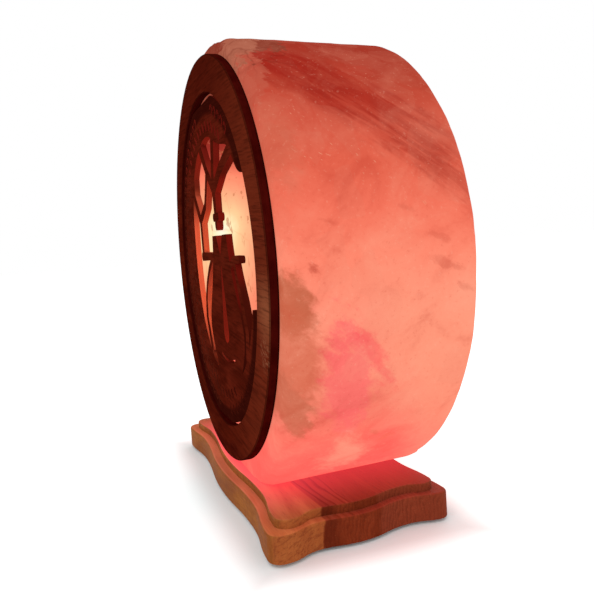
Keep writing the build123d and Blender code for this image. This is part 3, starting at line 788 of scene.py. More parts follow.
@dataclass(frozen=True)
class DarkWoodFinish:
    """Thin stained sheet wood with toned cut walls.

    The walls of the panel's openings take the cavity's light, most of it on the left.
    """

    part: WoodPart
    centre_height: float
    outer_radius: float
    front: float
    thickness: float

    grain: Cloud = Cloud(0.9 * MM, 5, 0.6, 0.2, (0, 4, 0), (0.06, 1, 1))
    grain_depth: float = 0.08 * MM
    waves: Cloud = Cloud(9 * MM, 4, 0.55, 0.5, (0, -6, 0), (0.25, 1, 1))
    wave_depth: float = 0.12 * MM
    plies: Cloud = Cloud(0.7 * MM, 2, 0.5, density=(0.05, 1, 0.05))
    ply_shade: float = 0.55
    polish: Cloud = Cloud(14 * MM, 4, 0.6)
    scorch: Cloud = Cloud(7 * MM, 4, 0.6)
    nicks: Cloud = Cloud(1.8 * MM, 4, 0.65, turn=(0, 35, 0), density=(0.5, 1, 1.6))
    cut_light: float = 0.22

    # Where the ring face's painted sheen grows, and where its patch lies.
    sheen_towards_right: Span = (10.0 * MM, 95.0 * MM)
    darker_top: Span = (30.0 * MM, 95.0 * MM)
    sheen_patch_at: FacePlace = (93.0 * MM, -18.0 * MM)
    sheen_patch_reach: float = 20.0 * MM
    nicked_at: FacePlace = (88.0 * MM, -35.0 * MM)
    nicked_reach: float = 10.0 * MM
    arris_shares: Span = (0.28, 0.46)
    rim_inside: Span = (8.0 * MM, 5.0 * MM)
    cut_sides: Span = (-50.0 * MM, 40.0 * MM)
    cut_shade: Span = (47.0 * MM, 54.0 * MM)
    cut_ruddy: Span = (34.0 * MM, 56.0 * MM)

    def build(self) -> bpy.types.Material:
        """Write the material.

        Returns:
            The material.
        """
        sheet = NodeSheet(f"{self.part.value}_wood")
        x, y, z = sheet.axes(sheet.place)
        _, facing_y, _ = sheet.axes(sheet.facing)
        up = sheet.minus(z, self.centre_height)
        flat = sheet.fade(sheet.absolute(facing_y), 0.55, 0.9)
        grain = sheet.noise(self.grain)
        waves = sheet.noise(self.waves)
        if self.part is WoodPart.RING:
            tone = self.ring_face(sheet, x, up, waves)
            wall = self.ring_wall(sheet, y)
        else:
            radius = sheet.distance(x, up)
            tone = self.panel_face(sheet, radius, waves)
            wall = self.panel_wall(sheet, x, up, radius)
            sheet.surface(Emission_Color=sheet.mix(flat, wall, BLACK), Emission_Strength=self.cut_light)
        tone = sheet.lay(tone, DarkTone.GRAIN_DARK, grain, 0.45, 0.7, 0.5)
        tone = sheet.lay(tone, DarkTone.GRAIN_PALE, grain, 0.42, 0.25, 0.25)
        wall = sheet.lay(wall, sheet.dim(wall, self.ply_shade), sheet.noise(self.plies), 0.4, 0.6, 0.35)
        fibres = sheet.relief(grain, self.grain_depth)
        sheet.surface(Base_Color=sheet.mix(flat, wall, tone), Specular_IOR_Level=0.0,
                      Normal=sheet.relief(waves, self.wave_depth, fibres),
                      Roughness=sheet.fade(sheet.noise(self.polish), 0.3, 0.7, 0.5, 0.68))
        return sheet.material

    def near(self, sheet: NodeSheet, x: Socket, up: Socket, place: FacePlace, reach: float) -> Socket:
        """A share that falls from 1 at a place on the face to 0 at its reach."""
        away = sheet.distance(sheet.minus(x, place[0]), sheet.minus(up, place[1]))
        return sheet.fade(away, reach, 0.0)

    def ring_face(self, sheet: NodeSheet, x: Socket, up: Socket, waves: Socket) -> Socket:
        """Colour of the ring's face, with painted sheen to the right and in a patch low on the right, and
        the nicks below it.

        Args:
            sheet: The node tree to write in.
            x: The place to the right.
            up: The height over the ring's middle.
            waves: The noise of the wood's figure.

        Returns:
            The colour's socket.
        """
        tone = sheet.lay(*DarkTone.RING, waves, 0.3, 0.7)
        # Painted sheen, growing towards the right.
        tone = sheet.lay(tone, DarkTone.RING_RIGHT_SHEEN, x, *self.sheen_towards_right, 0.55)
        tone = sheet.lay(tone, DarkTone.RING_TOP, up, *self.darker_top, 0.6)
        # Painted sheen: a lighter patch low on the right of the ring's face.
        painted_sheen = self.near(sheet, x, up, self.sheen_patch_at, self.sheen_patch_reach)
        tone = sheet.mix(sheet.times(painted_sheen, 0.85), tone, DarkTone.RING_SHEEN_PATCH)
        nicked = sheet.times(self.near(sheet, x, up, self.nicked_at, self.nicked_reach),
                             sheet.fade(sheet.noise(self.nicks), 0.5, 0.6))
        return sheet.mix(sheet.times(nicked, 0.9), tone, DarkTone.RING_NICKED)

    def ring_wall(self, sheet: NodeSheet, y: Socket) -> Socket:
        """Colour of the ring's edge, dark along both arrises.

        Args:
            sheet: The node tree to write in.
            y: The depth.

        Returns:
            The colour's socket.
        """
        off_middle = sheet.absolute(sheet.minus(y, self.front + self.thickness / 2))
        start, end = (self.thickness * share for share in self.arris_shares)
        tone = sheet.lay(*DarkTone.RING_EDGE, sheet.noise(self.scorch), 0.3, 0.7)
        return sheet.lay(tone, DarkTone.RING_ARRIS, off_middle, start, end)

    def panel_face(self, sheet: NodeSheet, radius: Socket, waves: Socket) -> Socket:
        """Colour of the panel's face, with a painted shadow of the ring darkening its rim.

        Args:
            sheet: The node tree to write in.
            radius: The distance from the panel's middle.
            waves: The noise of the wood's figure.

        Returns:
            The colour's socket.
        """
        tone = sheet.lay(*DarkTone.PANEL, waves, 0.3, 0.7)
        start, end = (self.outer_radius - inside for inside in self.rim_inside)
        # Painted shadow of the ring, darkest at the panel's edge.
        return sheet.lay(tone, DarkTone.PANEL_RIM_SHADOW, radius, start, end, 0.8)

    def panel_wall(self, sheet: NodeSheet, x: Socket, up: Socket, radius: Socket) -> Socket:
        """Painted light and shade on the walls of the openings, by their place: brightest on the left,
        shaded near the rim, redder towards the top.

        Args:
            sheet: The node tree to write in.
            x: The place to the right.
            up: The height over the panel's middle.
            radius: The distance from the panel's middle.

        Returns:
            The colour's socket.
        """
        # Painted light and shade, by place.
        tone = sheet.ramp(sheet.fade_evenly(x, *self.cut_sides), DarkTone.PANEL_CUTS_LIT)
        tone = sheet.lay(tone, DarkTone.PANEL_CUTS_SHADED, radius, *self.cut_shade, 0.9)
        return sheet.lay(tone, DarkTone.PANEL_CUTS_RUDDY, up, *self.cut_ruddy, 0.5)


class BoardTone:
    """Colours of the base board."""

    SAP = (paint(146, 80, 36), paint(170, 104, 50))
    SAP_LATE = paint(124, 60, 34)
    SAP_END = paint(182, 94, 52)
    SAP_END_MARKS = paint(112, 44, 26)
    HEART = (paint(114, 42, 19), paint(134, 54, 28))
    HEART_BACK = paint(146, 66, 44)
    HEART_LATE = paint(76, 22, 11)
    HEART_SEAM = paint(80, 24, 12)
    CUT_MARKS = paint(110, 60, 34)
    FIBRE_DARK = paint(96, 40, 24)
    FIBRE_PALE = paint(206, 140, 96)
    PORE = paint(60, 24, 14)
    # The top's colours have the salt's red light painted into them.
    TOP_RED_LIT = (paint(190, 92, 76), paint(214, 116, 96))
    TOP_HEART_RED_LIT = paint(166, 62, 54)
    TOP_STREAK = paint(112, 20, 18)
    TOP_GLOW = (0.77, 0.060, 0.086, 1.0)
    LEDGE_GLOW = (0.25, 0.05, 0.015, 1.0)


@dataclass(frozen=True)
class BoardFinish:
    """Oiled hardwood: pale sapwood at the front, red-brown heartwood behind it.

    The grain runs from side to side, so the board's ends show its year rings.
    """

    top_height: float

    heart_line: float = -26.0 * MM
    heart_lean: float = 0.15
    heart_bow: float = -0.55
    heart_edge: Span = (-0.5 * MM, 0.5 * MM)
    back_edge: Span = (24.0 * MM, 27.0 * MM)
    year_ring: float = 1.9 * MM
    seam_behind: float = 3.0 * MM
    seam_width: Span = (4.5 * MM, 1.0 * MM)
    streak_pitch: float = 3.2 * MM
    streak_front: Span = (-0.5 * MM, 1.0 * MM)
    streak_back: Span = (15.0 * MM, 11.0 * MM)

    rough: Cloud = Cloud(17 * MM, 3, 0.5, 0.2, density=(0.22, 1, 1))
    rough_reach: float = 5.0 * MM
    streak_reach: float = 9.0 * MM
    figure: Cloud = Cloud(6 * MM, 3, 0.5, 0.2, (0, 0, -2), (0.12, 1, 0.5))
    uneven: Cloud = Cloud(5 * MM, 3, 0.6, turn=(24, 0, 0), density=(0.1, 1, 0.15))
    uneven_rings: float = 4.0
    end_marks: Cloud = Cloud(0.9 * MM, 3, 0.6, turn=(24, 0, 0), density=(1.0, 0.14, 1.0))
    cut_marks: Cloud = Cloud(0.8 * MM, 3, 0.6, density=(1, 1, 0.08))
    fibre: Cloud = Cloud(0.6 * MM, 5, 0.65, turn=(0, 0, 1.5), density=(0.035, 1, 1))
    fibre_depth: float = 0.10 * MM
    pore_size: float = 0.8 * MM
    pore_depth: float = 0.06 * MM

    # Where the red light painted into the top's colour fades out towards the ends.
    red_lit_sides: Span = (96.0 * MM, 56.0 * MM)
    lit_sides: Span = (88.0 * MM, 26.0 * MM)
    lit_below: Span = (1.2 * MM, 0.3 * MM)
    lit_depth: Span = (10.0 * MM, -42.0 * MM)
    ledge_depth: Span = (0.0, -44.0 * MM)
    ledge_strength: float = 0.6

    def build(self) -> bpy.types.Material:
        """Write the material.

        Returns:
            The material.
        """
        sheet = NodeSheet("base_wood")
        x, y, z = sheet.axes(sheet.place)
        facing_x, facing_y, facing_z = sheet.axes(sheet.facing)
        upward = sheet.fade(facing_z, 0.6, 0.9)
        endways = sheet.fade(sheet.absolute(facing_x), 0.5, 0.8)
        front = sheet.fade(facing_y, -0.4, -0.8)

        rough = sheet.noise(self.rough)
        bow = sheet.times(sheet.times(x, x), self.heart_bow)
        depth = sheet.plus(sheet.plus(y, sheet.sway(rough, self.rough_reach)), bow)
        leaned = sheet.minus(depth, sheet.times(z, self.heart_lean))
        behind = sheet.minus(leaned, self.heart_line)
        late = self.late_wood(sheet, leaned)
        figure = sheet.noise(self.figure)
        fibre = sheet.noise(self.fibre)

        tone = self.sapwood(sheet, late, figure, endways)
        tone = self.hearted(sheet, tone, behind, late, figure)
        marks = sheet.fade(sheet.noise(self.cut_marks), 0.48, 0.62, 0.0, 0.35)
        tone = sheet.mix(sheet.times(front, marks), tone, BoardTone.CUT_MARKS)
        tone = sheet.lay(tone, BoardTone.FIBRE_DARK, fibre, 0.5, 0.72, 0.35)
        tone = sheet.lay(tone, BoardTone.FIBRE_PALE, fibre, 0.42, 0.25, 0.22)
        # Painted light: the top takes its red-lit colour, strongest under the drum.
        red_lit_share = sheet.fade(sheet.absolute(x), *self.red_lit_sides, 0.15, 0.65)
        tone = sheet.mix(sheet.times(upward, red_lit_share), tone, self.top(sheet, behind, rough, figure))

        pores = sheet.cells(sheet.moved((0, 0, 1.5), (0.06, 1, 1)), self.pore_size)
        pore = sheet.fade(pores, 0.22, 0.08)
        tone = sheet.mix(sheet.times(pore, 0.3), tone, BoardTone.PORE)
        normal = sheet.relief(fibre, self.fibre_depth)
        normal = sheet.relief(pore, -self.pore_depth, normal)
        sheet.surface(Base_Color=tone, Normal=normal, Specular_IOR_Level=0.015,
                      Roughness=sheet.fade(figure, 0.3, 0.7, 0.46, 0.6),
                      Emission_Color=self.red_light(sheet, x, y, z, upward), Emission_Strength=1.0)
        return sheet.material

    def late_wood(self, sheet: NodeSheet, leaned: Socket) -> Socket:
        """The dark part of each year ring.

        Args:
            sheet: The node tree to write in.
            leaned: The depth, leaned and bowed as the rings are.

        Returns:
            The socket of a share from 0 to 1.
        """
        uneven = sheet.noise(self.uneven)
        rings = sheet.plus(sheet.times(leaned, 1 / self.year_ring), sheet.times(uneven, self.uneven_rings))
        saw = sheet.calc("FRACT", rings)
        late = sheet.times(sheet.fade(saw, 0.2, 0.85), sheet.fade(saw, 1.0, 0.9))
        return sheet.times(late, sheet.fade(uneven, 0.35, 0.6, 0.3, 0.9))

    def sapwood(self, sheet: NodeSheet, late: Socket, figure: Socket, endways: Socket) -> Socket:
        """Colour of the sapwood, with slanted marks on the board's ends.

        Args:
            sheet: The node tree to write in.
            late: The share of late wood.
            figure: The noise of the wood's figure.
            endways: The share to which the surface is end grain.

        Returns:
            The colour's socket.
        """
        slanted = sheet.noise(self.end_marks)
        sap = sheet.lay(*BoardTone.SAP, figure, 0.3, 0.7)
        sap = sheet.mix(sheet.times(late, 0.25), sap, BoardTone.SAP_LATE)
        sap = sheet.mix(sheet.times(endways, 0.5), sap, BoardTone.SAP_END)
        return sheet.mix(sheet.times(endways, sheet.fade(slanted, 0.5, 0.62, 0.0, 0.4)), sap,
                         BoardTone.SAP_END_MARKS)

    def hearted(self, sheet: NodeSheet, sap: Socket, behind: Socket, late: Socket,
                figure: Socket) -> Socket:
        """Lay the heartwood over the sapwood behind the crisp line between them.

        Args:
            sheet: The node tree to write in.
            sap: The sapwood's colour.
            behind: The distance behind the heart line.
            late: The share of late wood.
            figure: The noise of the wood's figure.

        Returns:
            The new colour's socket.
        """
        heart = sheet.lay(*BoardTone.HEART, figure, 0.3, 0.7)
        heart = sheet.lay(heart, BoardTone.HEART_BACK, behind, *self.back_edge, 0.6)
        heart = sheet.mix(sheet.times(late, 0.35), heart, BoardTone.HEART_LATE)
        seam = sheet.fade(sheet.absolute(sheet.minus(behind, self.seam_behind)), *self.seam_width)
        heart = sheet.mix(sheet.times(seam, 0.45), heart, BoardTone.HEART_SEAM)
        return sheet.lay(sap, heart, behind, *self.heart_edge)

    def top(self, sheet: NodeSheet, behind: Socket, rough: Socket, figure: Socket) -> Socket:
        """Colour of the flat top, with the salt's red light painted into it and dark wavy streaks behind
        the heart line.

        Args:
            sheet: The node tree to write in.
            behind: The distance behind the heart line.
            rough: The noise that bends the streaks.
            figure: The noise of the wood's figure.

        Returns:
            The colour's socket.
        """
        waved = sheet.plus(behind, sheet.sway(rough, self.streak_reach))
        saw = sheet.calc("FRACT", sheet.times(waved, 1 / self.streak_pitch))
        streak = sheet.times(sheet.fade(saw, 0.45, 0.85), sheet.fade(saw, 1.0, 0.9))
        streak = sheet.times(streak, sheet.times(sheet.fade(behind, *self.streak_front),
                                                 sheet.fade(behind, *self.streak_back)))
        tone = sheet.lay(*BoardTone.TOP_RED_LIT, figure, 0.3, 0.7)
        tone = sheet.lay(tone, BoardTone.TOP_HEART_RED_LIT, behind, *self.heart_edge, 0.75)
        return sheet.mix(sheet.times(streak, 0.8), tone, BoardTone.TOP_STREAK)

    def red_light(self, sheet: NodeSheet, x: Socket, y: Socket, z: Socket, upward: Socket) -> Socket:
        """The salt's red light on the top and on the ledge, strongest under the drum.

        Args:
            sheet: The node tree to write in.
            x: The place to the right.
            y: The depth.
            z: The height.
            upward: The share to which the surface faces up.

        Returns:
            The light's colour.
        """
        start, end = (self.top_height - below for below in self.lit_below)
        high = sheet.fade(z, start, end)
        under = sheet.fade(sheet.absolute(x), *self.lit_sides)
        share = sheet.times(upward, sheet.times(high, under))
        ahead = sheet.fade(y, *self.lit_depth, 0.55, 1.0)
        glow = sheet.mix(sheet.times(share, ahead), BLACK, BoardTone.TOP_GLOW)
        low = sheet.times(upward, sheet.times(sheet.fade(y, *self.ledge_depth), sheet.minus(1.0, high)))
        return sheet.mix(sheet.times(low, self.ledge_strength), glow, BoardTone.LEDGE_GLOW)


@dataclass(frozen=True)
class MetalFinish:
    """Plated, drawn or turned metal with fine marks."""

    name: str
    colour: Colour
    dull: Colour
    roughness: float
    stains: Cloud = Cloud(5 * MM, 4, 0.6, 0.4)
    marks: Cloud = Cloud(0.5 * MM, 3, 0.6, density=(0.3, 0.3, 3.0))
    mark_depth: float = 0.02 * MM

    def build(self) -> bpy.types.Material:
        """Write the material.

        Returns:
            The material.
        """
        sheet = NodeSheet(self.name)
        stain = sheet.noise(self.stains)
        turned = sheet.noise(self.marks)
        tone = sheet.lay(self.colour, self.dull, stain, 0.4, 0.72)
        tone = sheet.lay(tone, self.dull, turned, 0.4, 0.7, 0.25)
        sheet.surface(Base_Color=tone, Metallic=1.0, Normal=sheet.relief(turned, self.mark_depth),
                      Roughness=sheet.fade(stain, 0.3, 0.7, self.roughness, self.roughness + 0.16))
        return sheet.material


@dataclass(frozen=True)
class MouldedFinish:
    """Moulded plastic, rubber, ceramic or glue with a fine skin."""

    name: str
    colour: Colour
    shade: Colour
    roughness: float
    skin_size: float
    skin_depth: float
    clouds: Cloud = Cloud(8 * MM, 3, 0.5, 0.3)

    def build(self) -> bpy.types.Material:
        """Write the material.

        Returns:
            The material.
        """
        sheet = NodeSheet(self.name)
        skin = sheet.noise(Cloud(self.skin_size, 4, 0.6))
        tone = sheet.lay(self.shade, self.colour, sheet.noise(self.clouds), 0.3, 0.7)
        tone = sheet.lay(tone, self.shade, skin, 0.5, 0.75, 0.3)
        sheet.surface(Base_Color=tone, Normal=sheet.relief(skin, self.skin_depth), Specular_IOR_Level=0.4,
                      Roughness=sheet.fade(skin, 0.3, 0.7, self.roughness, self.roughness + 0.12))
        return sheet.material


@dataclass(frozen=True)
class LampGlassFinish:
    """Clear blown glass with faint ripples."""

    warm: Colour = paint(255, 246, 226)
    amber: Colour = paint(255, 236, 200)
    refraction: float = 1.45
    ripples: Cloud = Cloud(9 * MM, 2, 0.4, density=(1, 1, 0.4))
    ripple_depth: float = 0.05 * MM

    def build(self) -> bpy.types.Material:
        """Write the material.

        Returns:
            The material.
        """
        sheet = NodeSheet("bulb_glass")
        ripple = sheet.noise(self.ripples)
        sheet.surface(Base_Color=sheet.lay(self.warm, self.amber, ripple, 0.3, 0.7),
                      Transmission_Weight=1.0, IOR=self.refraction,
                      Normal=sheet.relief(ripple, self.ripple_depth),
                      Roughness=sheet.fade(ripple, 0.3, 0.7, 0.02, 0.06))
        return sheet.material


@dataclass(frozen=True)
class GlowFinish:
    """The hot wire."""

    crown_height: float
    hot_from: float = 14.0 * MM
    hot_to: float = 4.0 * MM
    cold: Colour = paint(120, 116, 110)
    bright: Colour = paint(255, 214, 150)
    light: Colour = paint(255, 196, 110)
    strength: float = 9.0
    flicker: Cloud = Cloud(1 * MM, 2, 0.5)

    def build(self) -> bpy.types.Material:
        """Write the material, hottest at the crown of the wire.

        Returns:
            The material.
        """
        sheet = NodeSheet("filament_wire")
        _, _, z = sheet.axes(sheet.place)
        heat = sheet.fade(z, self.crown_height - self.hot_from, self.crown_height - self.hot_to)
        heat = sheet.times(heat, sheet.fade(sheet.noise(self.flicker), 0.2, 0.6, 0.8, 1.0))
        sheet.surface(Base_Color=sheet.mix(heat, self.cold, self.bright), Metallic=1.0, Roughness=0.4,
                      Emission_Color=sheet.mix(heat, BLACK, self.light), Emission_Strength=self.strength)
        return sheet.material


# ------------------------------------------------------------------ sub-assemblies


def dress(finish: Finish, *nodes: str) -> None:
    """Give CAD nodes a finish, each its own material.

    Args:
        finish: The finish.
        nodes: The names of the nodes.
    """
    for node in nodes:
        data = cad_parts[node].data
        data.materials.clear()
        data.materials.append(finish.build())
        log.info("%s: dressed", node)


def only(obj: bpy.types.Object) -> None:
    """Leave one object selected and active.

    Args:
        obj: The object.
    """
    bpy.ops.object.select_all(action="DESELECT")
    obj.select_set(True)
    bpy.context.view_layer.objects.active = obj


def finish_with(obj: bpy.types.Object, kind: str, name: str, **settings: Any) -> None:
    """Add one modifier to an object and apply it.

    Args:
        obj: The object.
        kind: The modifier's type name.
        name: The modifier's name.
        settings: The modifier's own options.
    """
    modifier = obj.modifiers.new(name, kind)
    for key, value in settings.items():
        setattr(modifier, key, value)
    only(obj)
    bpy.ops.object.modifier_apply(modifier=modifier.name)


@dataclass
class SaltDrum:
    """The carved block of salt."""

    cavity_radius: float = 72.0 * MM
    bright_lift: float = 21.0 * MM
    weld_gap: float = 0.01 * MM
    voxel: float = 1.4 * MM
    ease_share: float = 0.5
    ease_rounds: int = 4
    still_below: float = 5.0 * MM
    still_front: float = 1.5 * MM
    hollow_size: float = 34.0 * MM
    hollow_depth: float = 0.9 * MM
    dent_size: float = 9.0 * MM
    dent_depth: float = 0.30 * MM
    chip_size: float = 15.0 * MM
    chip_depth: float = 1.5 * MM
    chip_reach: float = 24.0 * MM
    chip_drop: float = 42.0 * MM
    chip_onset: float = 6.0
    chip_side_loss: float = 0.6
    chip_gain: float = 1.6

    def copied(self) -> bpy.types.Object:
        """Copy the CAD block and merge its loose triangles.

        Returns:
            The copy, in place.
        """
        block = bpy.data.objects.new("salt_block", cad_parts["salt_drum"].data.copy())
        bpy.context.scene.collection.objects.link(block)
        only(block)
        bpy.ops.object.mode_set(mode="EDIT")
        bpy.ops.mesh.select_all(action="SELECT")
        bpy.ops.mesh.remove_doubles(threshold=self.weld_gap)
        bpy.ops.object.mode_set(mode="OBJECT")
        return block

    def sink(self, block: bpy.types.Object, name: str, size: float, depth: float) -> None:
        """Press soft hollows of one size into the free part of the block.

        Args:
            block: The piece.
            name: A name for the hollows.
            size: The size of one hollow.
            depth: The depth of the deepest.
        """
        clouds = bpy.data.textures.new(name, "CLOUDS")
        clouds.noise_scale = size
        clouds.noise_depth = 2
        finish_with(block, "DISPLACE", name, texture=clouds, strength=-depth, mid_level=0.0,
                    vertex_group="free", texture_coords="LOCAL")

    def chip(self, block: bpy.types.Object, low: Vector, high: Vector) -> None:
        """Break the upper front edge into the flat faces of split crystal.

        Args:
            block: The piece.
            low: The lowest corner of its box.
            high: The highest corner of its box.
        """
        edge = block.vertex_groups.new(name="upper_edge")
        for vertex in block.data.vertices:
            behind = (vertex.co.y - low.y - self.still_front) / self.chip_reach
            below = (high.z - vertex.co.z) / self.chip_drop
            side = abs(vertex.co.x) / (high.x - low.x) * 2
            if 0 < behind < 1 and below < 1:
                share = min(1.0, self.chip_onset * behind) * (1 - behind) * (1 - below)
                share *= self.chip_gain * (1 - self.chip_side_loss * side)
                edge.add([vertex.index], max(0.0, min(1.0, share)), "REPLACE")
        facets = bpy.data.textures.new("split_faces", "VORONOI")
        facets.noise_scale = self.chip_size
        facets.noise_intensity = 1.0
        finish_with(block, "DISPLACE", "chips", texture=facets, strength=-self.chip_depth, mid_level=0.0,
                    vertex_group="upper_edge", texture_coords="LOCAL")

    def carve(self, low: Vector, high: Vector) -> bpy.types.Object:
        """Model the block with the unevenness of hand-turned salt.

        Args:
            low: The lowest corner of its box.
            high: The highest corner of its box.

        Returns:
            The new piece, in place.
        """
        block = self.copied()
        finish_with(block, "REMESH", "even_faces", mode="VOXEL", voxel_size=self.voxel, adaptivity=0.0)
        finish_with(block, "SMOOTH", "ease", factor=self.ease_share, iterations=self.ease_rounds)
        free = block.vertex_groups.new(name="free")
        loose = [vertex.index for vertex in block.data.vertices
                 if vertex.co.z > low.z + self.still_below and vertex.co.y > low.y + self.still_front]
        free.add(loose, 1.0, "REPLACE")
        self.sink(block, "hollows", self.hollow_size, self.hollow_depth)
        self.sink(block, "dents", self.dent_size, self.dent_depth)
        self.chip(block, low, high)
        bpy.ops.object.shade_smooth()
        return block

    def build(self) -> None:
        """Carve the block, dress it and set it in the frame."""
        low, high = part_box("salt_drum")
        axis_height = high.z - (high.x - low.x) / 2
        block = self.carve(low, high)
        finish = SaltFinish(axis_height=axis_height, front=low.y, cavity_radius=self.cavity_radius,
                            bright_height=axis_height + self.bright_lift)
        block.data.materials.clear()
        block.data.materials.append(finish.build())
        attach(block, "lamp_body")
        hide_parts("salt_drum")
        log.info("salt_block: %d faces", len(block.data.polygons))


@dataclass
class DarkSheet:
    """One of the dark sheets at the front, and the glue that holds it."""

    part: WoodPart
    sheet_node: str
    glue_node: str
    glue_colour: Colour = paint(214, 176, 132)
    glue_shade: Colour = paint(182, 128, 88)

    def build(self) -> None:
        """Dress the sheet, with a finish fitted to its size, and its glue."""
        low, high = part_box(self.sheet_node)
        wood = DarkWoodFinish(self.part, centre_height=(low.z + high.z) / 2,
                              outer_radius=(high.x - low.x) / 2, front=low.y, thickness=high.y - low.y)
        dress(wood, self.sheet_node)
        glue = MouldedFinish(f"{self.part.value}_glue", self.glue_colour, self.glue_shade, roughness=0.3,
                             skin_size=1.5 * MM, skin_depth=0.1 * MM)
        dress(glue, self.glue_node)


@dataclass
class WoodenBase:
    """The stepped board and what is fitted to it."""

    rubber: MouldedFinish = MouldedFinish("pad_rubber", paint(46, 44, 44), paint(30, 29, 29), 0.62,
                                          0.7 * MM, 0.08 * MM)
    sleeve: MouldedFinish = MouldedFinish("grommet_rubber", paint(40, 38, 37), paint(26, 25, 25), 0.5,
                                          1.2 * MM, 0.03 * MM)
    zinc: MetalFinish = MetalFinish("zinc_steel", paint(196, 198, 202), paint(150, 150, 152), 0.3)
    plate: MetalFinish = MetalFinish("washer_steel", paint(186, 188, 192), paint(140, 140, 142), 0.34)
    nylon: MouldedFinish = MouldedFinish("plug_nylon", paint(206, 204, 198), paint(186, 182, 174), 0.42,
                                         2 * MM, 0.03 * MM)

    def build(self) -> None:
        """Dress the board, pads, grommet, screws, washers and plugs."""
        _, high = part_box("base_board")
        dress(BoardFinish(top_height=high.z), "base_board")
        dress(self.rubber, "foot_pads")
        dress(self.sleeve, "cord_grommet")
        dress(self.zinc, "base_screws")
        dress(self.plate, "screw_washers")
        dress(self.nylon, "salt_plugs")


@dataclass
class LampHolder:
    """The holder that comes up from below, with its contacts."""

    cream: MouldedFinish = MouldedFinish("holder_plastic", paint(236, 232, 222), paint(220, 214, 200),
                                         0.35, 2 * MM, 0.03 * MM)
    ceramic: MouldedFinish = MouldedFinish("insert_ceramic", paint(240, 238, 232),
                                           paint(226, 222, 212), 0.2, 3 * MM, 0.02 * MM)
    brass: MetalFinish = MetalFinish("brass", paint(226, 186, 104), paint(170, 124, 62), 0.26)
    spring: MetalFinish = MetalFinish("spring_steel", paint(150, 152, 156), paint(96, 98, 104), 0.3)

    def build(self) -> None:
        """Dress the holder's pieces."""
        dress(self.cream, "holder_cap", "holder_body")
        dress(self.ceramic, "holder_insert")
        dress(self.brass, "screw_shell", "centre_contact", "terminal_screws")
        dress(self.spring, "holder_spring")


@dataclass
class Bulb:
    """The small incandescent lamp."""

    cap: MetalFinish = MetalFinish("cap_metal", paint(204, 202, 196), paint(160, 156, 148), 0.24)
    dark_glass: MouldedFinish = MouldedFinish("insulator_glass", paint(30, 26, 34), paint(18, 16, 22), 0.12,
                                              2 * MM, 0.02 * MM)
    solder: MetalFinish = MetalFinish("solder", paint(190, 188, 182), paint(128, 126, 122), 0.36)

    def build(self) -> None:
        """Dress the lamp's pieces."""
        _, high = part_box("filament")
        dress(LampGlassFinish(), "bulb_glass", "filament_stem")
        dress(GlowFinish(crown_height=high.z), "filament")
        dress(self.cap, "bulb_cap")
        dress(self.dark_glass, "bulb_insulator")
        dress(self.solder, "bulb_contact")


# ------------------------------------------------------------------ studio


class LightKind(Enum):
    """The kinds of light that the studio has."""

    AREA = "AREA"
    POINT = "POINT"


@dataclass(frozen=True)
class Light:
    """One light: its size is an area light's side or a point light's radius."""

    kind: LightKind
    name: str
    place: Place
    watts: float
    size: float
    colour: Tint = (1, 1, 1)

    def build(self, target: Vector) -> None:
        """Set up the light, turned to a target.

        Args:
            target: The point that an area light faces.
        """
        data = bpy.data.lights.new(self.name, self.kind.value)
        data.energy = self.watts
        data.color = self.colour
        if self.kind is LightKind.AREA:
            data.size = self.size
        else:
            data.shadow_soft_size = self.size
        light = bpy.data.objects.new(self.name, data)
        light.location = self.place
        light.rotation_euler = (target - Vector(self.place)).to_track_quat("-Z", "Y").to_euler()
        bpy.context.scene.collection.objects.link(light)
        log.info("%s: %.2f W", self.name, self.watts)


